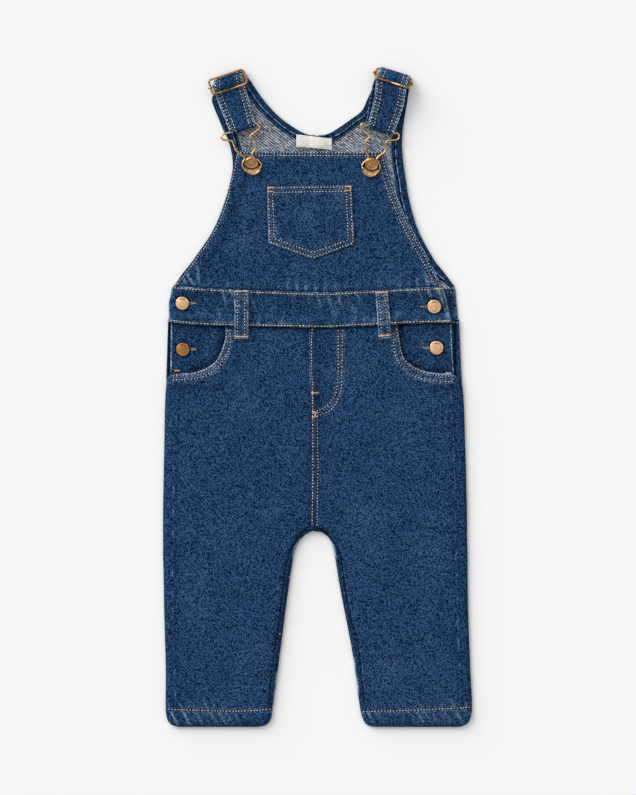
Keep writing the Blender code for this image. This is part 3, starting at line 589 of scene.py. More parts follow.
ARMHOLE_SEW_LINES = {
    "right": [
        (-86.8, 271.5), (-88.2, 265.4), (-81.6, 250.0), (-73.6, 231.7), (-69.6, 212.3), (-70.6, 193.2),
        (-76.5, 174.5), (-88.3, 146.0), (-107.0, 118.4), (-118.6, 101.6),
    ],
    "left": [
        (76.1, 280.5), (73.6, 267.7), (70.5, 249.7), (69.1, 231.0), (69.6, 212.3), (72.6, 193.6),
        (75.6, 174.9), (84.8, 146.5), (99.2, 118.6), (107.5, 109.2), (114.5, 103.6),
    ],
}


def turned_edge(name, edges, node, line, seed):
    """A narrow folded strip with one sewn line near its inner side."""

    def double_line(places, inward):
        away, along = from_line(places, smooth_line(line, 0.5))
        # A darker tone over the strip, and painted shade along the sewn line.
        pale = -0.34 + 0.10 * patches(places, 5, seed + 1) - 0.6 * hill(away, 0.5)
        rim = np.clip((inward - 2.4) / 0.6, 0.35, 1.0)
        return pale + rim * (1.05 + 0.45 * ripple(along, seed, 9.0)) * hill(away - 1.1, 0.48)

    strip = lay_cloth(
        name, edges, 0.6, node, thick=0.9, bridge=(1, 1), rows=[(line, 0.4, 0.1)], edge_fade=0.2,
        slots=(denim, denim),
        lift=lambda places, inward: 0.25 * np.clip(inward / 2, 0, 1) + 0.12 * patches(places, 6, seed),
        fade=double_line,
    )
    return strip


neck = turned_edge("back_neck_hem_cloth", NECK_EDGES, "back_neck_hem", NECK_SEW_LINE, 1.1)
for side in ("right", "left"):
    node = f"back_armhole_hem_{side}"
    hem = turned_edge(f"{node}_cloth", ARMHOLE_EDGES[side], node, ARMHOLE_SEW_LINES[side], 2.3)

# Side plackets: the dark under-flap of each hip opening, which the lower button is riveted to. A painted
# shadow darkens it further where the front's folded side stands over it.
PLACKETS = {
    "right": ((-134.5, 69.5, -112.0, 69.5), (-135.0, 40.0, -112.0, 40.0), (-135.8, 11.0, -112.0, 11.0)),
    "left": ((127.3, 69.5, 103.0, 69.5), (128.5, 40.0, 104.0, 40.0), (130.0, 9.0, 105.0, 9.0)),
}


def placket_fade(places, inward):
    """Uneven tone, with a painted shadow where the folded side of the front stands over it."""
    return 0.1 * patches(places, 7, 3.0) - 0.05 - hill(np.abs(places[:, 0] + 5.0) - 128.6, 1.5)


for side in ("right", "left"):
    placket = lay_cloth(
        f"side_placket_{side}_cloth", PLACKETS[side], 1.6, f"side_placket_{side}", slots=(denim, denim),
        edge_fade=0.1, fade=placket_fade,
    )

# Neck label: a blank off-white woven tape sewn in by its top edge, its lower corners standing up.
label_cloth = woven(
    "label_tape", (0.60, 0.56, 0.50, 1), (0.80, 0.77, 0.71, 1), (0.90, 0.89, 0.84, 1), (0.9, 0.9, 0.88, 1),
    spread=0.5, twill_turn=0.0,
)


def label_lift(places, inward):
    x, y = places.T
    return 0.5 + 1.6 * hill(x + 19, 9) * np.clip((233 - y) / 9, 0, 1) + 0.35 * np.sin(x / 5.0)


label = lay_cloth(
    "neck_label_tape", ((-19.0, 236.0, 13.0, 232.0), (-19.0, 225.0, 13.0, 222.0)), 0.8, "neck_label", thick=0.45,
    bridge=(3, 5), edge_fade=0.0, slots=(label_cloth, label_cloth), lift=label_lift,
)

# Brass: wire and stamped parts with a warm antiqued plate of uneven tone, and near-black beads of painted
# shade for the side buttons' dimples. Each kind of part has its own shade, from bright upper buttons to the
# browned one and the sliders.


def brass_finish(name, bright, deep, rough):
    """Uneven metal between two shades, duller where it is deep."""
    made, nodes, links, shader, place = new_finish(name)
    tone = scaled(nodes, links, speckle(nodes, links, place, 500, 3.0), 0.35, 0.65)
    links.new(shade(nodes, links, deep, bright, tone), shader.inputs["Base Color"])
    shader.inputs["Metallic"].default_value = 1.0
    links.new(scaled(nodes, links, tone, 0, 1, rough + 0.12, rough), shader.inputs["Roughness"])
    roughen(nodes, links, shader, speckle(nodes, links, place, 1900), 0.15, 0.0001)
    return made


brass = brass_finish("brass_plate", (0.92, 0.62, 0.38, 1), (0.66, 0.38, 0.20, 1), 0.26)
old_brass = brass_finish("antique_brass_plate", (0.52, 0.30, 0.13, 1), (0.30, 0.16, 0.07, 1), 0.36)
plate_brass = brass_finish("stamped_brass_plate", (0.90, 0.57, 0.28, 1), (0.42, 0.22, 0.09, 1), 0.22)
slider_brass = brass_finish("slider_brass_wire", (0.62, 0.34, 0.15, 1), (0.30, 0.14, 0.055, 1), 0.20)
wire_brass = brass_finish("brass_wire", (0.96, 0.60, 0.27, 1), (0.46, 0.22, 0.08, 1), 0.18)
# near-black beads that stand for the dimples' hollows: painted shade
dimple_shade = brass_finish("painted_dimple_shade", (0.05, 0.04, 0.03, 1), (0.02, 0.016, 0.012, 1), 0.6)
dull_brass = brass_finish("browned_brass_plate", (0.50, 0.25, 0.085, 1), (0.28, 0.13, 0.04, 1), 0.34)
SIDE_BUTTONS = (  # place, middle, radius, finish
    ("right_upper", -121.5, 84.0, 6.1, brass), ("right_lower", -121.0, 42.5, 6.1, dull_brass),
    ("left_upper", 105.0, 81.0, 6.3, brass), ("left_lower", 107.0, 44.0, 6.3, brass),
)


def button_shadows(x, y):
    """The dark ring on the cloth round each side button."""
    return sum(hill(np.hypot(x - bx, y - by) - radius - 0.2, 0.8) for _, bx, by, radius, _ in SIDE_BUTTONS)


# Sewing thread: polyester, tan with paler flecks, partly the thread's own uneven colour and partly painted
# highlight on the twist, in straight rows of stitches that dip into the cloth, and in satin bars where the
# denim is under strain.
STITCH_PITCH, STITCH_LONG, STITCH_RADIUS, STITCH_SUNK = 2.75, 1.55, 0.43, 0.06


def thread_finish(name, deep, pale):
    """Twisted thread that runs at random from a deep to a pale shade; the pale end is partly painted highlight."""
    made, nodes, links, shader, place = new_finish(name)
    tone = scaled(nodes, links, speckle(nodes, links, place, 430, 1.0), 0.36, 0.64)
    links.new(shade(nodes, links, deep, pale, tone), shader.inputs["Base Color"])
    shader.inputs["Roughness"].default_value = 0.6
    shader.inputs["Sheen Weight"].default_value = 0.15
    roughen(nodes, links, shader, speckle(nodes, links, place, 2600, 1.0), 0.4, 0.0001)
    return made


tan_thread = thread_finish("tan_thread", (0.46, 0.23, 0.12, 1), (0.98, 0.84, 0.70, 1))
gold_thread = thread_finish("gold_thread", (0.56, 0.28, 0.09, 1), (0.96, 0.74, 0.44, 1))
orange_thread = thread_finish("orange_thread", (0.62, 0.27, 0.11, 1), (0.92, 0.56, 0.34, 1))


def thread_piece(name, finish, stitches):
    """One object of many small stitches, each given as its middle (mm), direction, length and radius."""
    bm = bmesh.new()
    for middle, way, length, radius in stitches:
        turn = Vector(way).normalized().to_track_quat("X", "Z").to_matrix().to_4x4()
        size = Matrix.Diagonal((length / 2000, radius / 1000, radius / 1000, 1))
        bmesh.ops.create_uvsphere(
            bm, u_segments=6, v_segments=4, radius=1,
            matrix=Matrix.Translation(Vector(middle) / 1000) @ turn @ size @ Matrix.Rotation(math.pi / 2, 4, "Y"),
        )
    for face in bm.faces:
        face.smooth = True
    mesh = bpy.data.meshes.new(name)
    bm.to_mesh(mesh)
    bm.free()
    mesh.materials.append(finish)
    made = bpy.data.objects.new(name, mesh)
    bpy.context.scene.collection.objects.link(made)
    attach(made, "root")
    return made


def running(line, seed=0.0, long=STITCH_LONG):
    """Straight stitches along a laid line, each leaning a little, its ends in the cloth."""
    fine = smooth_line(line, 0.25)
    run = np.concatenate([[0], np.cumsum(np.linalg.norm(np.diff(fine, axis=0), axis=1))])
    count = max(1, round(run[-1] / STITCH_PITCH))
    made = []
    for i in range(count):
        at = (i + 0.5 + 0.10 * math.sin(7.3 * i + seed)) * run[-1] / count
        ends = [[np.interp(at + e * long / 2, run, fine[:, k]) for k in (0, 1)] for e in (-1, 1)]
        low, high = (np.array([*e, pile_at(pile, np.array([e]))[0]]) for e in ends)
        way = high - low
        lean = math.radians(7 + 4 * math.sin(3.1 * i + seed))
        turned_way = Matrix.Rotation(lean, 3, "Z") @ Vector(way)
        middle = (low + high) / 2 - (0, 0, STITCH_SUNK)
        made.append((middle, turned_way, long * (1 + 0.08 * math.sin(5 * i)), STITCH_RADIUS))
    return made


def rows_of(lines, first=0, long=STITCH_LONG):
    """Straight stitches along several lines, each line leaning in its own way."""
    return [stitch for i, line in enumerate(lines) for stitch in running(line, i + first, long)]


def satin(line, wide=1.5, pitch=0.42, radius=0.26, raised=0.1):
    """Threads packed side by side across a short line: a bar that holds a corner."""
    fine = smooth_line(line, 0.1)
    count = max(2, round(len(fine) * 0.1 / pitch))
    made = []
    for i in range(count):
        at = fine[min(len(fine) - 1, round((i + 0.5) * len(fine) / count))]
        way = fine[-1] - fine[0]
        across = np.array([-way[1], way[0]]) / np.linalg.norm(way)
        slant = across * math.cos(0.2) + way / np.linalg.norm(way) * math.sin(0.2) * (1 if i % 2 else -1)
        made.append((np.array([*at, pile_at(pile, at[None])[0] + raised]), (*slant, 0), wide, radius))
    return made


def satin_bars(table):
    """Bars of satin, each given as (start x, start y, end x, end y, width)."""
    return [thread for x, y, to_x, to_y, wide in table for thread in satin([(x, y), (to_x, to_y)], wide=wide)]


# Front bib: one panel of denim, its top turned down under two rows, its left side turned under two
# rows and its right under one. It wrinkles at both lower corners, where the waistband draws it in.
BIB_SECTIONS = (  # from the top down
    (-72.0, 221.0, 59.5, 220.5), (-75.5, 206.0, 63.5, 207.0), (-83.0, 177.0, 74.0, 174.5),
    (-94.0, 150.0, 86.0, 149.5), (-112.0, 123.0, 101.0, 122.0), (-124.5, 106.5, 109.0, 105.0),
    (-130.0, 94.0, 113.5, 92.0),
)
BIB_TOP_ROWS = [[(-70.2, 219.6), (-5.9, 219.5), (58.8, 219.4)], [(-70.4, 217.0), (-5.9, 217.0), (58.8, 217.0)]]
BIB_RIGHT_ROWS = [[
    (-72.6, 216.0), (-73.9, 205.5), (-78.6, 188.0), (-81.2, 176.0), (-92.2, 149.0), (-110.2, 122.0),
    (-122.5, 105.5), (-126.5, 100.5),
]]
BIB_LEFT_ROWS = [
    [(58.2, 216.5), (63.6, 196.5), (72.0, 173.5), (84.0, 148.3), (99.2, 121.0), (110.8, 98.5)],
    [(54.6, 215.5), (60.2, 194.5), (68.6, 171.5), (80.6, 146.3), (95.8, 119.5), (107.4, 97.5)],
]
BIB_WRINKLES = (  # middle, direction in degrees, reach, width, rise
    (-114, 105, 122, 8, 1.5, 1.5), (-107, 109, 98, 11, 1.6, 1.3), (-119, 103, 128, 6, 1.3, 0.9),
    (-97, 101, 84, 8, 1.8, 0.8), (98, 106, 112, 9, 1.8, 1.1), (90, 103, 98, 8, 1.8, 0.8),
    (105, 101, 128, 7, 1.6, 0.8), (-60, 101, 84, 7, 1.6, 0.4), (60, 100, 100, 7, 1.6, 0.4),
)
POCKET_CORNERS = [(-45.5, 189.0), (-44.0, 138.5), (-4.0, 124.0), (33.0, 137.5), (30.5, 190.0)]
POCKET_OUTLINE = np.vstack([smooth_line(side) for side in zip(POCKET_CORNERS, POCKET_CORNERS[1:])])
WAIST_TOP = ((-130, -112, -74, -34, 4, 48, 77, 106, 114), (100.3, 99.0, 97.0, 95.5, 94.5, 96.5, 98.0, 99.5, 99.0))
WAIST_FOOT = ((-134, -112, -74, -34, 4, 48, 77, 110, 121), (66.7, 64.2, 62.7, 62.2, 61.2, 63.2, 64.7, 65.7, 66.2))


def wrinkles(places, table):
    """Soft ridges, one for each row of a table."""
    rise = np.zeros(len(places))
    for x, y, turn, reach, width, high in table:
        turn = math.radians(turn)
        a, b = places[:, 0] - x, places[:, 1] - y
        run = a * math.cos(turn) + b * math.sin(turn)
        side = b * math.cos(turn) - a * math.sin(turn) + 0.12 * width * np.sin(run / reach * 3)
        rise += high * np.exp(-((run / reach) ** 2) - (side / width) ** 2)
    return rise


def bib_lift(places, inward):
    """Crowned between its edges, wrinkled at the foot, and roped along the top hem."""
    x, y = places.T
    rise = 0.9 * (1 - np.exp(-inward / 9)) + wrinkles(places, BIB_WRINKLES)
    rise += 0.22 * patches(places, 34, 0.7) * np.clip(inward / 10, 0, 1)
    rise += 0.30 * ripple(x, 1.0, 9.0) * fall(y - 95, 6)
    return rise + 0.16 * ripple(x, 4.0, 7.5) * hill(y - 215, 4)


def bib_fade(places, inward):
    """Pale on the wrinkles, with painted shade on their flanks, beside the pocket and along the waistband's top edge.
    """
    x, y = places.T
    ridges = wrinkles(places, BIB_WRINKLES)
    pale = 0.28 * ridges - 0.12 * hill(ridges - 0.3, 0.2)
    pale += 0.30 * np.clip(ripple(x, 1.0, 9.0), 0, 1) * fall(y - 98, 5)
    away, _ = from_line(places, POCKET_OUTLINE)
    pale -= 0.55 * hill(away, 1.2) + 0.4 * hill(y - np.interp(x, *WAIST_TOP), 1.1)
    return pale + 0.04 * patches(places, 30, 1.0)


bib_rows = [(line, 0.34, 0.34) for line in BIB_TOP_ROWS + BIB_LEFT_ROWS]
bib_rows += [(line, 0.3, 0.2) for line in BIB_RIGHT_ROWS]
bib = lay_cloth(
    "front_bib_cloth", BIB_SECTIONS, 1.35, "front_bib", rows=bib_rows, lift=bib_lift, fade=bib_fade,
    edge_fade=lambda places: np.where(places[:, 1] > 217.5, 0.85, np.where(places[:, 0] > 40, 0.75, 0.25)),
)
bib_thread = rows_of(BIB_TOP_ROWS) + rows_of(BIB_RIGHT_ROWS + BIB_LEFT_ROWS, 3)
thread_piece("front_bib_stitches", tan_thread, bib_thread)

# Pocket facings: the denim seen inside each scooped hip opening, behind the front leg. The side
# opening's edge is folded and pale, and a small bar holds its foot.
FACINGS = {  # side edge, then the hidden edge, from the waist down
    "right": (
        (-131.5, 72.5, -69.0, 72.5), (-132.0, 46.5, -70.0, 46.5), (-132.0, 22.5, -80.5, 19.5),
        (-130.5, 12.5, -95.0, 9.5),
    ),
    "left": (
        (120.0, 72.5, 59.0, 72.5), (121.0, 46.5, 61.0, 46.5), (122.5, 22.5, 70.5, 19.5), (122.5, 11.5, 85.0, 9.5),
    ),
}
HIP_EDGES = {
    "right": [(-83.0, 70.0), (-83.0, 52.5), (-90.0, 34.0), (-99.5, 26.0), (-113.0, 21.5), (-131.5, 20.0)],
    "left": [(71.0, 70.0), (73.5, 52.5), (77.0, 36.0), (84.5, 28.5), (98.5, 22.5), (124.0, 19.0)],
}
for side, out in (("right", -1), ("left", 1)):
    edge = smooth_line(HIP_EDGES[side])

    def facing_fade(places, inward):
        # Uneven, slightly darker tone, with painted shadow beside the hip opening's edge, under the waistband's foot
        # and round the buttons.
        away, _ = from_line(places, edge)
        pale = 0.14 * patches(places, 11, 2.0 + out) - 0.06 - 0.60 * hill(away, 5.5)
        x, y = places.T
        return pale - 0.9 * fall(np.interp(x, *WAIST_FOOT) - y, 1.5) - 0.8 * button_shadows(x, y)

    facing = lay_cloth(
        f"pocket_facing_{side}_cloth", FACINGS[side], 1.4, f"pocket_facing_{side}",
        slots=(denim, denim), edge_fade=1.2, fade=facing_fade,
        lift=lambda places, inward: 0.45 * np.clip(inward / 6, 0, 1) + 0.3 * patches(places, 16, out),
    )

# Front legs: two panels with scooped hip openings, bound under two rows. The left leg laps over the
# right at the centre front, where the fly's curved rows and two bars hold it.
HIP_ROWS = {
    "right": [
        [(-82.2, 61.0), (-81.8, 52.0), (-84.2, 44.8), (-89.0, 33.5), (-98.8, 24.9), (-112.5, 20.2), (-130.5, 18.6)],
        [(-78.8, 61.0), (-78.2, 48.5), (-83.2, 34.0), (-95.0, 22.3), (-107.5, 16.9), (-131.0, 14.8)],
    ],
    "left": [
        [(70.6, 62.0), (73.6, 47.5), (76.8, 35.6), (84.2, 27.4), (98.4, 21.2), (122.0, 17.8)],
        [(67.6, 58.0), (70.2, 37.0), (77.2, 25.5), (87.6, 18.3), (103.0, 14.6), (122.4, 13.4)],
    ],
}
CENTRE_ROWS = [
    [(-4.6, 61.5), (-5.4, 47.8), (-5.0, 20.5), (-4.4, 7.9), (-4.3, -19.1), (-4.1, -65.9), (-4.8, -115.5)],
    [(-0.2, -16.5), (0.4, -65.9), (-0.6, -117.0)],
]
FLY_ROWS = [
    [(18.8, 61.0), (18.4, 20.5), (16.2, 2.5), (8.3, -8.3), (-4.2, -14.6)],
    [(22.8, 61.0), (21.8, 20.5), (20.8, 4.3), (12.2, -11.6), (-3.6, -18.4)],
]
HEM_ROWS = {
    "right": [[(-135.0, -281.0), (-72.7, -282.6), (-41.8, -280.8)]],
    "left": [[(39.9, -283.2), (85.0, -281.8), (138.0, -279.4)]],
}
INSEAM_LINES = {
    "right": [
        (-9.0, -119.0), (-14.8, -123.6), (-25.7, -140.0), (-28.9, -153.2), (-33.8, -196.4), (-40.4, -237.8),
        (-44.0, -276.0),
    ],
    "left": [
        (1.5, -118.5), (7.7, -121.9), (19.8, -139.6), (22.9, -159.1), (28.4, -191.9), (36.4, -223.9), (42.0, -276.0),
    ],
}
SIDE_RIDGES = {
    "right": [(-125.5, 8.0), (-128.6, -50.0), (-129.6, -110.0), (-130.2, -190.0), (-127.6, -278.0)],
    "left": [(119.5, 8.0), (122.4, -50.0), (124.2, -110.0), (125.8, -190.0), (129.0, -276.0)],
}
LEG_WRINKLES = {
    "right": (
        (-40, -104, 24, 30, 5.0, 0.9), (-34, -86, 10, 24, 4.0, 0.6), (-84, -30, 78, 60, 9, 0.7),
        (-104, -200, 97, 50, 9, 0.8), (-62, -226, 82, 40, 8, 0.6), (-116, -90, 92, 50, 7, 0.6),
        (-60, -150, 70, 36, 7, 0.6), (-96, 12, 12, 24, 5, 0.5), (-50, 30, 60, 40, 9, 0.6),
    ),
    "left": (
        (36, -102, 156, 30, 5.0, 0.9), (30, -84, 170, 24, 4.0, 0.6), (86, -34, 104, 60, 9, 0.7),
        (104, -176, 82, 54, 9, 0.8), (66, -232, 98, 40, 8, 0.6), (112, -70, 86, 50, 7, 0.6),
        (58, -146, 112, 36, 7, 0.6), (100, 4, 166, 24, 5, 0.5), (48, 24, 118, 40, 9, 0.6),
    ),
}
FRONT_HIPS = {  # the scooped hip opening, then the centre front seam
    "right": (
        (-83.0, 70.0, -6.5, 69.0), (-83.0, 52.5, -7.0, 50.0), (-90.0, 34.0, -7.0, 33.0),
        (-99.5, 26.0, -6.5, 20.5), (-113.0, 21.5, -6.0, 8.0), (-131.5, 20.0, -5.5, -6.5),
    ),
    "left": (
        (71.0, 70.0, -6.0, 69.0), (73.5, 52.5, -6.5, 50.0), (77.0, 36.0, -6.0, 33.0),
        (84.5, 28.5, -6.0, 20.5), (98.5, 22.5, -5.5, 8.0), (124.0, 19.0, -5.0, -6.5),
    ),
}


def glimpses(places):
    """Where the inseam's turned-in edge shows pale: beside the crotch, and here and there lower down."""
    y = places[:, 1]
    lower = hill(y + 258, 24) * (0.4 + 0.6 * patches(places, 9, 2.0))
    return np.clip(hill(y + 138, 8) + lower, 0, 1)


for side, out in (("right", -1), ("left", 1)):
    inseam, ridge = smooth_line(INSEAM_LINES[side]), smooth_line(SIDE_RIDGES[side])

    def leg_lift(places, inward):
        """Rounded over the side and inseam folds, puckered along the hem, lapped at the centre."""
        x, y = places.T
        rise = 2.5 * (1 - np.exp(-inward / 2.2)) + 0.6 * (1 - np.exp(-inward / 14))
        rise += 0.4 * wrinkles(places, LEG_WRINKLES[side])
        rise += 0.16 * patches(places, 42, 1.0 + out) * np.clip(inward / 12, 0, 1)
        away, along = from_line(places, inseam)
        rise -= 0.6 * hill(away, 0.8) - 0.35 * hill(away - 2.2, 1.0)
        away, along = from_line(places, ridge)
        rise += (0.3 + 0.2 * ripple(along, out, 14)) * hill(away, 1.8)
        band = np.clip((-281.5 - y) / 2.0, 0, 1)
        pucker = ripple(x + 0.5 * (y + 290), 2.0 + out, SEAM_PUCKER)
        rise += band * (0.35 + 0.42 * pucker) + 0.25 * pucker * hill(y + 277, 4)
        if side == "left":
            rise += 0.55 * fall(x + 5, 5) + 0.3 / (1 + np.exp((x - 20) / 1.2)) * (y > -20)
            rise += 0.45 * np.clip((6 - x) / 9, 0, 1) * (y < 80)
        return rise

    def leg_fade(places, inward):
        """Painted shade under the waistband, along the inseam's crease, beside the side fold and just inside
        the edges; pale on the ridges and across the hem.
        """
        x, y = places.T
        pale = 0.02 * wrinkles(places, LEG_WRINKLES[side]) + 0.015 * patches(places, 36, 3.0 + out)
        pale -= 0.9 * fall(np.interp(x, *WAIST_FOOT) - y, 1.1)
        away, along = from_line(places, inseam)
        pale -= 0.85 * hill(away, 0.75) - 0.16 * ripple(along, 1.0, 6.0) * hill(away, 4.0)
        pale += (0.16 + 0.18 * ripple(along, 2.0, 3.1)) * hill(away - 1.6, 0.5)
        pale -= 0.25 * hill(away - 2.8, 0.5)
        pale -= 0.20 * (away < 7) * (inward < 5.5) * (y < -112) * np.clip(inward - 0.6, 0, 1)
        away, along = from_line(places, ridge)
        pale += 0.30 * np.clip(0.4 + ripple(along, out + 3.0, 19), 0, 1) * hill(away, 1.0)
        pale -= 0.30 * hill(away - 2.0, 1.2)
        streak = np.clip(ripple(x + 0.5 * (y + 290), 2.0 + out, SEAM_PUCKER), 0, 1) ** 4
        streak += 0.9 * np.clip(ripple(x + 0.62 * (y + 290), 5.0 + out, 7.3), 0, 1) ** 6
        pale += 0.42 * streak * np.clip((-282.5 - y) / 2.0, 0, 1) * np.clip((y + 298) / 5, 0.2, 1)
        pale += 0.25 * streak * hill(y + 277, 3)
        pale += 1.3 * glimpses(places) * (x * out < 60) * hill(inward - 0.9, 0.8)
        return pale - 0.22 * fall(inward - 0.8, 1.6) * (y < 10)

    def leg_shift(places):
        """Laps the wearer's left leg a little over the right at the centre front."""
        x, y = places.T
        lap = (-1.5 if side == "left" else 2.4) * np.exp(-np.abs(x + 5.5) / 7) * np.clip((y + 126) / 5, 0, 1)
        return np.column_stack([lap, 0 * x])

    def leg_edge(places):
        """How pale each edge is: most at the scooped hip opening, least where it is hidden."""
        x, y = places.T
        hip = (y > 12) & (x * out > 66) & (x * out < 121)
        inner = np.where((y < -120) & (x * out < 60), glimpses(places) * 2.4, 0.1)
        return np.where(hip, 1.2, np.where(y < -292, 0.3, inner))

    leg_rows = [(line, 0.36, 0.42) for line in HIP_ROWS[side]] + [(line, 0.4, 0.3) for line in HEM_ROWS[side]]
    if side == "left":
        leg_rows += [(line, 0.32, 0.2) for line in CENTRE_ROWS + FLY_ROWS]
    leg = lay_cloth(
        f"front_leg_{side}_cloth", FRONT_HIPS[side] + LEG_OUTLINES[side], 1.3, f"front_leg_{side}", rows=leg_rows,
        lift=leg_lift, fade=leg_fade, edge_fade=leg_edge, shift=leg_shift,
    )
    thread_piece(f"hem_{side}_stitches", gold_thread, rows_of(HEM_ROWS[side], out))
    leg_thread = rows_of(HIP_ROWS[side])
    if side == "left":
        leg_thread += rows_of(CENTRE_ROWS + FLY_ROWS, 5)
    thread_piece(f"front_leg_{side}_stitches", tan_thread, leg_thread)
FRONT_BARS = [  # the feet of the side openings, then the fly from the top down
    (-128.8, 23.4, -124.2, 23.4, 1.5), (115.2, 21.6, 120.2, 20.8, 1.5), (-5.4, 3.4, 1.0, 3.4, 1.5),
    (-4.4, 5.6, -4.4, 1.2, 1.5), (-4.8, -13.2, 0.6, -14.8, 1.5), (-4.6, -18.6, 0.4, -17.6, 1.5),
    (-2.0, -13.8, -2.0, -18.4, 1.5),
]
INSEAM_DOTS = [(-25.4, -162.0), (-33.9, -213.0), (18.3, -164.8), (30.6, -224.0)]
FRONT_BARS += [(x - 0.5, y, x + 0.5, y - 0.2, 1.0) for x, y in INSEAM_DOTS]
thread_piece("front_bars", orange_thread, satin_bars(FRONT_BARS))

# Front waistband: a doubled band laid over the bib's foot and the legs' tops, one row close to each
# edge. The rows draw it in, so it is puffed and roped between them, and pale at its ends. A painted
# shadow rings each button on it.
WAIST_SECTIONS = (
    (-129.8, 99.3, -134.0, 67.5), (-112.5, 98.0, -112.5, 65.0), (-74.0, 96.0, -74.0, 63.5),
    (-34.0, 94.5, -34.0, 63.0), (4.5, 93.5, 4.5, 62.0), (48.0, 95.5, 48.0, 64.0),
    (77.0, 97.0, 77.0, 65.5), (106.5, 98.5, 110.0, 66.5), (113.5, 98.0, 120.5, 67.0),
)
WAIST_ROWS = [
    [
        (-129.6, 98.0), (-112.5, 96.6), (-74.2, 94.6), (-44.1, 93.4), (4.7, 92.0), (25.7, 92.8), (48.1, 94.1),
        (77.0, 95.6), (111.6, 97.0),
    ],
    [
        (-133.0, 69.0), (-112.5, 66.5), (-88.0, 65.2), (-60.8, 64.6), (4.7, 63.4), (25.7, 64.3), (54.5, 65.7),
        (77.0, 67.0), (118.2, 68.2),
    ],
]


def waist_ropes(x, y):
    """The slanting puckers that the upper and the lower row draw into the band."""
    return ripple(x + 0.35 * (y - 80), 3.0, 8.6), ripple(x - 0.3 * (y - 80), 5.0, 9.5)


def waist_lift(places, inward):
    x, y = places.T
    upper, lower = waist_ropes(x, y)
    rise = 0.55 * (1 - np.exp(-inward / 3.5)) + 0.30 * patches(places, 13, 1.9)
    return rise + 0.55 * upper * fall(94 - y, 9) + 0.35 * lower * fall(y - 65, 7)


def waist_fade(places, inward):
    x, y = places.T
    upper, lower = (np.clip(rope, 0, 1) ** 2 for rope in waist_ropes(x, y))
    pale = 0.50 * upper * fall(92 - y, 10) + 0.30 * lower * fall(y - 66, 7)
    # Uneven tone, slightly darker, with a painted shadow ring round each button.
    pale += 0.10 * patches(places, 9, 4.0) - 0.06 - 0.8 * button_shadows(x, y)
    return pale + 0.35 * np.clip((x - 108) / 10, 0, 1) * (0.6 + 0.5 * patches(places, 5, 1.0))


def waist_shift(places):
    """Bows the wearer's right end outward."""
    x, y = places.T
    bow = 2.0 * np.clip((-100 - x) / 32, 0, 1) ** 2 * hill(y - 85, 10)
    return np.column_stack([-bow, 0 * x])


waist = lay_cloth(
    "front_waistband_cloth", WAIST_SECTIONS, 1.35, "front_waistband", thick=1.45, shift=waist_shift,
    rows=[(line, 0.5, 0.30) for line in WAIST_ROWS], lift=waist_lift, fade=waist_fade,
    edge_fade=lambda places: np.where(np.abs(places[:, 0]) > 110, 0.8, 0.2),
)
waist_thread = rows_of(WAIST_ROWS, 0.5, long=2.1)
waist_thread += running([(115.6, 94.3), (124.0, 93.2)]) + running([(121.6, 67.2), (127.0, 66.6)])
thread_piece("front_waistband_stitches", tan_thread, waist_thread)
WAIST_BARS = ((105.5, 96.9, 111.8, 97.2, 1.2), (112.6, 68.1, 118.6, 68.3, 1.2))
thread_piece("front_waistband_bars", orange_thread, satin_bars(WAIST_BARS))

# Belt loops: two narrow strips folded in three, sewn down both sides and barred across both ends. The
# edges have worn nearly white, and the lower ends show a little fray.
LOOPS = {
    "right": ((-75.0, 96.0, -62.0, 96.0), (-74.5, 52.0, -62.0, 52.0)),
    "left": ((52.0, 94.5, 63.0, 95.0), (55.0, 51.5, 67.0, 53.0)),
}
LOOP_ROWS = {
    "right": [[(-71.9, 93.5), (-71.7, 54.6)], [(-65.4, 93.5), (-65.4, 54.6)]],
    "left": [[(55.0, 93.0), (57.8, 55.0)], [(60.2, 93.2), (63.6, 55.4)]],
}
LOOP_BARS = {
    "right": [(-74.6, 94.4, -62.6, 94.9, 1.3), (-74.4, 54.2, -62.4, 54.0, 1.3)],
    "left": [(52.2, 93.2, 62.8, 94.0, 1.3), (54.8, 54.4, 66.4, 55.6, 1.3)],
}


def loop_lift(places, inward):
    """Bowed off the band in the middle, with a second bend over the band's foot."""
    y = places[:, 1]
    bow = 1.1 * hill(y - 80, 10) + 0.5 * hill(y - 61, 4)
    return bow + 0.35 * np.clip(inward / 2, 0, 1) + 0.2 * patches(places, 7, 1.4)


for side in ("right", "left"):
    loop = lay_cloth(
        f"belt_loop_{side}_cloth", LOOPS[side], 0.75, f"belt_loop_{side}", thick=1.15,
        bridge=(2, 3), rows=[(line, 0.35, 0.4) for line in LOOP_ROWS[side]], lift=loop_lift, edge_fade=1.0,
        slots=(denim, denim), fade=lambda places, inward: 0.12 * patches(places, 5, 2.2),
    )
    thread_piece(f"belt_loop_{side}_stitches", tan_thread, rows_of(LOOP_ROWS[side]))
    thread_piece(f"belt_loop_{side}_bars", orange_thread, satin_bars(LOOP_BARS[side]))

# Bib pocket: a five-cornered patch, its mouth hemmed under two rows and its sides and point sewn on
# with two more. The outer folds are pale, and a bar holds each upper corner.
POCKET_ROWS = [
    [(-44.2, 187.6), (-6.5, 188.2), (29.4, 188.6)],
    [(-40.6, 183.7), (-6.5, 184.2), (26.0, 184.8)],
    [(-44.2, 187.0), (-43.2, 163.0), (-42.7, 139.6)], [(-42.7, 139.6), (-24.0, 132.7), (-4.0, 125.4)],
    [(-4.0, 125.4), (14.0, 131.7), (31.7, 138.4)], [(31.7, 138.4), (30.6, 163.0), (29.6, 187.8)],
    [(-40.5, 183.0), (-39.6, 163.0), (-38.9, 142.3)], [(-38.9, 142.3), (-22.0, 136.0), (-4.0, 129.8)],
    [(-4.0, 129.8), (12.0, 135.2), (27.7, 141.0)], [(27.7, 141.0), (26.8, 163.0), (25.8, 184.0)],
]


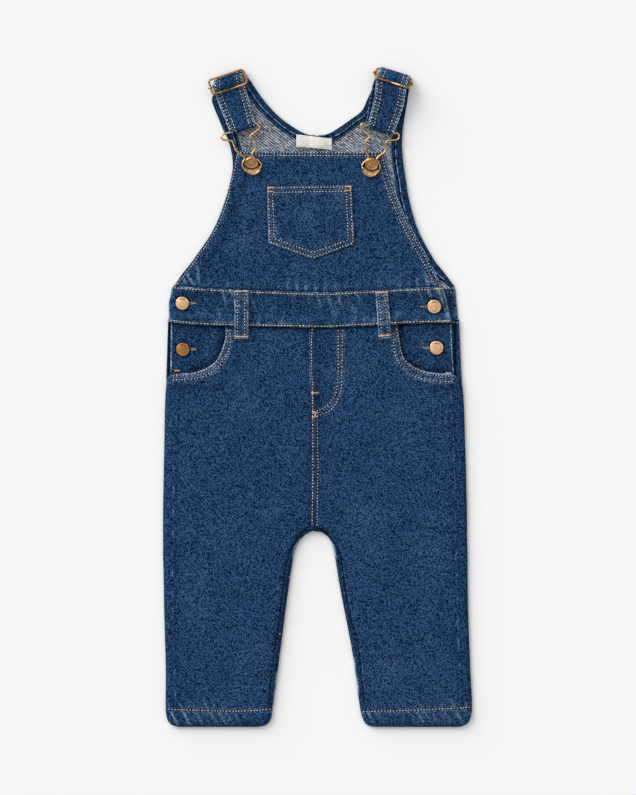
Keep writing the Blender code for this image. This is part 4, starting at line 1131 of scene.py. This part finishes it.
def pocket_lift(places, inward):
    x, y = places.T
    rise = 0.55 * (1 - np.exp(-inward / 4)) + 0.2 * patches(places, 22, 0.3)
    return rise + 0.12 * ripple(x, 2.0, 8.0) * hill(y - 186, 3)


POCKET_SECTIONS = ((-45.5, 189.0, -44.0, 138.5), (-6.5, 189.5, -4.0, 124.0), (30.5, 190.0, 33.0, 137.5))
pocket = lay_cloth(
    "bib_pocket_cloth", POCKET_SECTIONS, 0.9, "bib_pocket", thick=1.0, bridge=(1, 3), straight=True,
    rows=[(line, 0.3, 0.22) for line in POCKET_ROWS], lift=pocket_lift,
    edge_fade=lambda places: np.where(places[:, 1] > 186.5, 0.35, 0.95),
    fade=lambda places, inward: 0.04 * patches(places, 18, 5.0),
)
thread_piece("bib_pocket_stitches", tan_thread, rows_of(POCKET_ROWS))
POCKET_BARS = (
    (-44.8, 187.9, -38.8, 188.1, 1.3), (-44.4, 184.6, -39.0, 184.2, 1.1), (-44.4, 187.6, -44.2, 184.6, 1.1),
    (24.4, 189.0, 30.2, 189.0, 1.3), (25.0, 185.2, 29.8, 185.4, 1.1), (29.8, 188.6, 29.8, 185.4, 1.1),
)
thread_piece("bib_pocket_bars", orange_thread, satin_bars(POCKET_BARS))

# Side buttons: domed brass jeans buttons riveted to the under-flap, each pushed through a satin-sewn
# buttonhole that runs towards the middle. An arc of small dimples is all their dome carries: near-black
# beads on the dome, painted shade standing for the dimples' hollows.


def metal_piece(name, bm, finish, slot, *nodes):
    """A smooth closed metal part from a bmesh, standing for its CAD nodes."""
    bmesh.ops.remove_doubles(bm, verts=bm.verts, dist=1e-7)
    bmesh.ops.recalc_face_normals(bm, faces=bm.faces)
    for face in bm.faces:
        face.smooth = True
    mesh = bpy.data.meshes.new(name)
    bm.to_mesh(mesh)
    bm.free()
    mesh.materials.append(finish)
    made = bpy.data.objects.new(name, mesh)
    bpy.context.scene.collection.objects.link(made)
    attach(made, "root")
    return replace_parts(made, *nodes)


def turned(profile, x, y):
    """A round part spun from its outline, given as (radius, height) in mm from the top down."""
    bm = bmesh.new()
    verts = [bm.verts.new((r / 1000, 0, z / 1000)) for r, z in profile]
    edges = [bm.edges.new(pair) for pair in zip(verts, verts[1:])]
    bmesh.ops.spin(
        bm, geom=verts + edges, axis=(0, 0, 1), cent=(0, 0, 0), steps=56, angle=math.tau, use_merge=True,
    )
    bmesh.ops.translate(bm, verts=bm.verts, vec=(x / 1000, y / 1000, 0))
    return bm


HOLE_THREAD, HOLE_BARS = [], []
for place, x, y, radius, finish in SIDE_BUTTONS:
    node = f"side_button_{place}"
    inwards = 1 if x < 0 else -1
    cloth = pile_at(pile, np.array([[x + 3, y], [x - 3, y], [x, y + 3]])).max()
    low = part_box(node)[0].z * 1000
    rim = cloth + 0.35
    bm = turned(
        [
            (0, rim + 2.05), (1.8, rim + 1.98), (3.2, rim + 1.80), (radius - 1.7, rim + 1.45),
            (radius - 1.3, rim + 1.30), (radius - 0.9, rim + 1.50), (radius - 0.45, rim + 1.42),
            (radius - 0.12, rim + 1.05), (radius, rim + 0.6), (radius - 0.1, rim + 0.15),
            (radius - 0.5, rim), (2.2, rim - 0.05), (2.1, low), (0, low),
        ], x, y,
    )
    metal_piece(f"{node}_brass", bm, finish, "brass", node)
    bm = bmesh.new()
    for step in range(7):
        angle = math.radians(90 + 11 * (step - 3))
        at = Vector((x + 3.9 * math.cos(angle), y + 3.9 * math.sin(angle), rim + 1.55)) / 1000
        size = 0.00034 + 0.0001 * (step % 2)
        bmesh.ops.create_icosphere(bm, subdivisions=2, radius=size, matrix=Matrix.Translation(at))
    metal_piece(f"{node}_dimples", bm, dimple_shade, "brass")
    start = x + inwards * (radius + 0.3)
    end = x + inwards * (radius + 3.6)
    for edge in (0.8, -0.8):
        lip = [(start, y + edge), (end, y + edge * 0.6)]
        HOLE_THREAD += satin(lip, wide=0.9, pitch=0.8, radius=0.2, raised=0.0)
    HOLE_BARS += satin([(end, y), (end + inwards * 2.2, y)], wide=1.1, radius=0.24)
thread_piece("buttonhole_stitches", tan_thread, HOLE_THREAD)
thread_piece("buttonhole_bars", orange_thread, HOLE_BARS)

# Shoulder straps: a denim tape with both edges folded in and two rows along each. It turns at the
# shoulder, passes over the slider's bar and under its frame, goes round the hook and back underneath.
# Its edges are worn pale; painted shade darkens its stitch grooves, a crease near the shoulder and the fold
# round the hook.
STRAP_LINES = {"right": ((-83.0, 288.5), (-66.5, 239.5)), "left": ((73.0, 292.0), (56.0, 238.0))}
STRAP_STATIONS = {  # along, height, aside, half width
    "right": (
        (7.0, 0.5, 4.2, 13.9), (4.5, 0.5, 4.2, 13.9), (2.4, 0.5, 4.2, 13.9), (1.05, 1.05, 4.1, 13.9),
        (0.5, 2.45, 3.8, 13.8), (1.05, 3.9, 3.1, 13.7), (2.5, 5.1, 2.2, 13.6), (4.2, 6.5, 1.3, 13.6),
        (6.1, 7.5, 0.8, 13.8), (8.6, 6.8, 0.4, 14.0), (12.9, 4.8, 0.0, 14.1), (18.0, 4.5, 0.0, 13.9),
        (32.0, 4.5, 0.0, 13.2), (43.0, 4.9, 0.0, 12.5), (47.4, 6.3, 0.0, 12.3), (49.6, 6.75, 0.0, 12.2),
        (50.84, 6.24, 0.0, 12.2), (51.35, 5.0, 0.0, 12.2), (50.84, 3.76, 0.0, 12.2), (49.6, 3.25, 0.0, 12.2),
        (44.0, 3.2, 0.0, 12.3), (28.0, 3.2, 0.0, 12.9), (12.0, 3.2, 0.0, 13.8), (6.1, 3.1, 0.0, 14.0),
        (5.04, 3.54, 0.0, 14.0), (4.6, 4.6, 0.0, 14.0), (5.04, 5.66, 0.0, 14.0), (6.1, 6.1, 0.0, 14.0),
        (7.3, 5.5, 0.0, 14.0),
    ),
    "left": (
        (7.0, 0.5, -1.0, 14.0), (4.6, 0.5, -2.0, 14.0), (2.3, 0.5, -2.6, 14.0), (1.0, 1.0, -2.8, 14.0),
        (0.5, 2.2, -2.9, 14.1), (1.0, 3.4, -3.0, 14.1), (3.3, 5.9, -3.1, 14.2), (5.9, 8.1, -3.2, 14.2),
        (9.2, 9.6, -3.3, 14.2), (12.8, 10.3, -3.2, 14.2), (18.0, 9.7, -2.0, 14.1), (28.0, 7.7, -0.4, 13.7),
        (40.0, 5.9, 0.0, 13.2), (50.0, 6.3, 0.0, 12.6), (54.4, 6.75, 0.0, 12.5), (55.64, 6.24, 0.0, 12.5),
        (56.15, 5.0, 0.0, 12.5), (55.64, 3.76, -0.3, 12.5), (54.4, 3.25, -0.6, 12.5), (48.0, 3.2, -2.2, 12.6),
        (32.0, 3.2, -4.4, 13.0), (18.0, 3.2, -5.2, 13.6), (12.0, 3.7, -4.6, 13.9), (9.0, 4.5, -3.6, 14.0),
        (7.5, 4.5, -3.2, 14.0), (6.77, 5.78, -3.2, 14.0), (7.5, 7.08, -3.2, 14.0), (8.8, 7.15, -3.2, 14.0),
    ),
}
STRAP_WIDE = 29  # points across
STRAP_SEAMS = (2.0, 5.6)  # mm in from each edge
STRAP_STITCH_PITCH, STRAP_STITCH_LONG = 3.0, 1.7


def strap_frame(side):
    """Where a strap starts, and its directions along and across."""
    start, end = (np.array(p) for p in STRAP_LINES[side])
    along = (end - start) / np.linalg.norm(end - start)
    return start, along, np.array([-along[1], along[0]])


for side, out in (("right", -1), ("left", 1)):
    start, along, across = strap_frame(side)
    fine = smooth_line(STRAP_STATIONS[side], 0.55)
    reach = np.concatenate([[0], np.cumsum(np.linalg.norm(np.diff(fine[:, :2], axis=0), axis=1))])
    u = np.linspace(-1, 1, STRAP_WIDE)
    middle = start + fine[:, :1] * along + fine[:, 2:3] * across
    flat = middle[:, None, :] + (fine[:, 3:4] * u)[:, :, None] * across
    surface = np.dstack([flat, np.repeat(fine[:, 1:2], STRAP_WIDE, axis=1)])
    way = np.gradient(surface, axis=0)
    face = np.cross(np.gradient(surface, axis=1), way)
    face /= np.linalg.norm(face, axis=2, keepdims=True)
    run = np.repeat(reach[:, None], STRAP_WIDE, axis=1)
    from_edge = fine[:, 3:4] * (1 - np.abs(u))
    relief = 0.22 * hill(from_edge - 3.6, 1.6) - 0.18 * hill(from_edge - 2.0, 0.6)
    relief -= 0.16 * hill(from_edge - 5.6, 0.6)
    relief += 0.12 * np.sin(run * 1.25 + 3 * np.sign(u)) * hill(from_edge - 1.5, 2.0)
    sign = 1 if face[len(fine) // 3, 3, 2] > 0 else -1
    surface = surface + face * sign * relief[:, :, None]
    bm = bmesh.new()
    bmesh.ops.create_grid(bm, x_segments=STRAP_WIDE - 1, y_segments=len(fine) - 1, size=1)
    bm.verts.ensure_lookup_table()
    for vert, spot in zip(bm.verts, surface.reshape(-1, 3)):
        vert.co = spot / 1000
    bmesh.ops.recalc_face_normals(bm, faces=bm.faces)
    mesh = bpy.data.meshes.new("strap")
    bm.to_mesh(mesh)
    bm.free()
    ragged = np.sin(run * 2.3 + 3 * np.sign(u)) * np.sin(run * 0.83 + 2 * np.sign(u))
    pale = (0.95 + 0.5 * ragged) * hill(from_edge - 0.3, 0.9 + 0.4 * ragged)
    pale += 0.45 * np.clip(np.sin(run * 2.2 + 3 * np.sign(u)), 0, 1) * hill(from_edge - 3.8, 1.0)
    # Painted shade in the stitch grooves, down a crease near the shoulder, and over the cloth at the fold round the
    # hook.
    for seam in STRAP_SEAMS:
        pale -= 0.75 * hill(from_edge - seam, 0.55)
    aside = fine[:, 3:4] * u
    pale -= (0.35 + 0.15 * np.sin(run * 0.5)) * hill(aside - 1.2 - 0.06 * run, 0.9) * (run < 24)
    fold = run[np.argmax(fine[:, 0] > fine[:, 0].max() - 0.4)]
    pale -= 0.75 * fall(fold - run, 1.8) * (0.6 + 0.4 * np.sin(aside * 0.9 + out))
    field = mesh.attributes.new("wear_and_painted_shade", "FLOAT", "POINT")
    field.data.foreach_set("value", np.clip(pale, -1, 1).astype(np.float32).ravel())
    mesh.polygons.foreach_set("use_smooth", [True] * len(mesh.polygons))
    strap = cloth_piece(f"shoulder_strap_{side}_cloth", mesh, 1.0, (denim, denim), f"shoulder_strap_{side}")
    strap.modifiers["wall"].offset = 0
    seams = []
    for edge in STRAP_SEAMS:
        for hand in (-1, 1):
            for at in np.arange(STRAP_STITCH_PITCH, reach[-1] - 1, STRAP_STITCH_PITCH):
                row = np.searchsorted(reach, at)
                column = (hand * (1 - edge / fine[row, 3]) + 1) / 2 * (STRAP_WIDE - 1)
                low, part = int(column), column % 1
                spot = surface[row, low] * (1 - part) + surface[row, low + 1] * part
                spot = spot + sign * face[row, low] * 0.5
                seams.append((spot, way[row, low], STRAP_STITCH_LONG, STITCH_RADIUS))
    thread_piece(f"shoulder_strap_{side}_stitches", tan_thread, seams)

# Strap sliders: each is a rectangle of bent wire, butted at the middle of its lower side, with a loose
# bar across its middle whose ends are curled round the frame and finished in a small bead.
WIRE, BAR = 0.95, 0.7
FRAME_HALF_WIDE, FRAME_HALF_HIGH, FRAME_CORNER = 16.2, 6.8, 2.4
SLIDERS = {  # along the strap, height, aside, turn and tip in degrees
    "right": (6.1, 6.5, 0.4, 18.4, 0.0), "left": (6.9, 7.1, -3.2, -17.5, 46.0),
}


def wire_piece(name, route, radius, node, finish, beads=()):
    """Round wire along a route (mm), with beads where its ends are finished."""
    data = bpy.data.curves.new(name, "CURVE")
    data.dimensions = "3D"
    data.bevel_depth = radius / 1000
    data.bevel_resolution = 4
    data.use_fill_caps = True
    spline = data.splines.new("POLY")
    spline.points.add(len(route) - 1)
    for point, spot in zip(spline.points, route):
        point.co = (*(Vector(spot) / 1000), 1)
    bent = bpy.data.objects.new(name + "_route", data)
    bpy.context.scene.collection.objects.link(bent)
    view = bpy.context.evaluated_depsgraph_get()
    view.update()
    mesh = bpy.data.meshes.new_from_object(bent.evaluated_get(view))
    bpy.data.objects.remove(bent)
    bm = bmesh.new()
    bm.from_mesh(mesh)
    for spot, size in beads:
        at = Matrix.Translation(Vector(spot) / 1000)
        bmesh.ops.create_uvsphere(bm, u_segments=16, v_segments=10, radius=size / 1000, matrix=at)
    return metal_piece(name, bm, finish, "brass", node)


for side in ("right", "left"):
    far, height, aside, turn, tip = SLIDERS[side]
    start, along, across = strap_frame(side)
    centre = start + far * along + aside * across
    put = (
        Matrix.Translation(Vector((*centre, height))) @ Matrix.Rotation(math.radians(turn), 4, "Z")
        @ Matrix.Rotation(math.radians(-tip), 4, "X")
    )
    loop = [(0.06, -FRAME_HALF_HIGH)]
    for quarter, (sx, sy) in enumerate(((1, -1), (1, 1), (-1, 1), (-1, -1))):
        for step in range(9):
            angle = math.radians(-90 + 90 * quarter + 11.25 * step)
            loop.append((
                sx * (FRAME_HALF_WIDE - FRAME_CORNER) + FRAME_CORNER * math.cos(angle),
                sy * (FRAME_HALF_HIGH - FRAME_CORNER) + FRAME_CORNER * math.sin(angle),
            ))
    loop.append((-0.06, -FRAME_HALF_HIGH))
    node = f"strap_slider_frame_{side}"
    wire_piece(f"{node}_wire", [put @ Vector((*p, 0)) for p in loop], WIRE, node, slider_brass)
    curl = WIRE + 0.25 + BAR
    hook = [
        (FRAME_HALF_WIDE + curl * math.cos(a), 0, curl * math.sin(a)) for a in np.radians(np.arange(-90, 111, 12.5))
    ]
    route = [put @ Vector((-x, y, z)) for x, y, z in reversed(hook)] + [put @ Vector(p) for p in hook]
    ends = [(put @ Vector((e * (FRAME_HALF_WIDE + 1.1), 0, 1.0)), 1.0) for e in (-1, 1)]
    node = f"strap_slider_bar_{side}"
    wire_piece(f"{node}_wire", route, BAR, node, slider_brass, beads=ends)

# Bib hooks: spring wire bent to a keyhole that slips over the button and two shoulders that carry the
# strap's bar. A stamped crescent joins its ends below the button, whose worn cap stands a little aslant.
HOOK_WIRE = 0.8
HOOKS = {  # button, its cap's half width and half height, crescent's middle and radius, way it leans
    "right": (-59.4, 209.8, 6.2, 4.5, 1.27, -3.26, 7.3, 1), "left": (48.7, 208.6, 5.8, 5.0, 1.2, -3.6, 7.4, -1),
}
CAP_OUTLINE = [  # share of the half width, height in mm
    (0, 0.70), (0.52, 0.72), (0.60, 0.62), (0.68, 0.62), (0.74, 0.74), (0.80, 0.72), (0.86, 0.95), (0.93, 1.20),
    (0.98, 1.05), (1.0, 0.70), (0.97, 0.2), (0.90, 0.0), (0.36, 0.0),
]
CRESCENT_OUTLINE = (  # share of the way from the inner to the outer edge, height in mm
    (0, 0.0), (0, 0.9), (0.09, 1.30), (0.20, 0.75), (0.45, 0.45), (0.72, 0.50), (0.80, 0.85), (0.88, 1.65),
    (0.95, 1.60), (1, 0.9), (0.98, 0.0),
)
HOOK_ROUTES = {
    "right": (
        (-64.5, 203.4), (-66.6, 206.0), (-67.4, 208.6), (-66.9, 211.3), (-65.4, 214.4), (-69.3, 217.9),
        (-73.6, 222.0), (-75.3, 226.7), (-77.5, 230.3), (-84.0, 230.8), (-86.6, 233.2), (-85.0, 235.5),
        (-82.0, 236.5), (-79.4, 237.4), (-57.0, 245.0), (-54.9, 245.5), (-53.6, 244.2), (-52.4, 242.4),
        (-52.6, 240.6), (-58.4, 236.4), (-60.4, 233.6), (-57.6, 229.9), (-55.8, 225.6), (-56.2, 222.2),
        (-58.6, 219.0), (-58.5, 216.6), (-56.6, 214.6), (-53.2, 212.3), (-51.0, 209.8), (-50.7, 208.2),
        (-51.0, 206.5),
    ),
    "left": (
        (40.6, 205.4), (40.1, 207.9), (42.0, 210.9), (45.4, 213.9), (45.6, 216.0), (43.2, 221.7),
        (42.8, 226.4), (44.2, 230.6), (46.7, 233.8), (43.0, 237.8), (39.4, 241.2), (38.8, 243.9),
        (40.2, 245.6), (42.4, 245.2), (45.0, 244.0), (68.0, 236.9), (70.6, 237.4), (72.9, 235.7),
        (73.3, 233.2), (71.6, 231.2), (67.5, 230.6), (63.4, 230.2), (61.3, 227.6), (61.9, 224.0),
        (60.2, 219.9), (54.9, 215.9), (53.2, 213.6), (54.8, 210.0), (56.0, 206.6), (55.6, 204.2), (54.2, 202.2),
    ),
}
for side in ("right", "left"):
    x, y, wide, high, plate_x, plate_y, plate_r, hand = HOOKS[side]
    cloth = pile_at(pile, np.array([[x + a, y + b] for a in (-7, 0, 7) for b in (-7, 0, 7)])).max()
    middle = cloth + 0.15 + HOOK_WIRE
    bent = smooth_line(HOOK_ROUTES[side], 0.5)
    rise = np.clip((bent[:, 1] - (y + 8)) / 16, 0, 1)
    rise = rise * rise * (3 - 2 * rise)
    heights = middle + (5.0 - middle) * rise
    nubs = [(np.array([*bent[end], middle + 0.9]), 1.2) for end in (0, -1)]
    node = f"bib_hook_wire_{side}"
    wire_piece(f"{node}_brass", np.column_stack([bent, heights]), HOOK_WIRE, node, wire_brass, beads=nubs)
    cap = middle + HOOK_WIRE + 0.15
    bm = turned(CAP_OUTLINE, 0, 0)
    for vert in bm.verts:
        vert.co = (vert.co.x * wide, vert.co.y * high, vert.co.z)
    bmesh.ops.rotate(bm, verts=bm.verts, cent=(0, 0, 0), matrix=Matrix.Rotation(math.radians(9), 3, "X"))
    bmesh.ops.translate(bm, verts=bm.verts, vec=Vector((x, y, cap + 0.7)) / 1000)
    for r, top, foot, up in ((5.3, cap + 0.4, cap, 1.1), (2.2, cap + 0.8, cloth + 0.1, 0)):
        bmesh.ops.create_cone(
            bm, segments=40, radius1=r / 1000, radius2=(r - 0.3) / 1000, depth=(top - foot) / 1000, cap_ends=True,
            matrix=Matrix.Translation(Vector((x - hand * 0.2 * up, y + up, (top + foot) / 2)) / 1000),
        )
    metal_piece(f"bib_button_{side}_brass", bm, old_brass, "antique_brass", f"bib_button_{side}")
    bm = bmesh.new()
    rows = []
    for step in range(33):
        turn, lean = math.radians(216 + 122 * step / 32), math.radians(210 + 146.5 * step / 32)
        inner = Vector((hand * (wide + 0.75) * math.cos(turn), (high + 1.0) * math.sin(turn), 0))
        outer = Vector((hand * (plate_x + plate_r * math.cos(lean)), plate_y + plate_r * math.sin(lean), 0))
        hub = Vector((x, y, cloth + 0.2))
        rows.append([
            bm.verts.new((hub + inner.lerp(outer, part) + Vector((0, 0, z))) / 1000)
            for part, z in CRESCENT_OUTLINE
        ])
    edges = [[bm.edges.new((row[k], row[(k + 1) % len(row)])) for k in range(len(row))] for row in rows]
    for first, second in zip(edges, edges[1:]):
        bmesh.ops.bridge_loops(bm, edges=first + second)
    for row in (rows[0], rows[-1]):
        bm.faces.new(row)
    metal_piece(f"bib_hook_plate_{side}_brass", bm, plate_brass, "brass", f"bib_hook_plate_{side}")
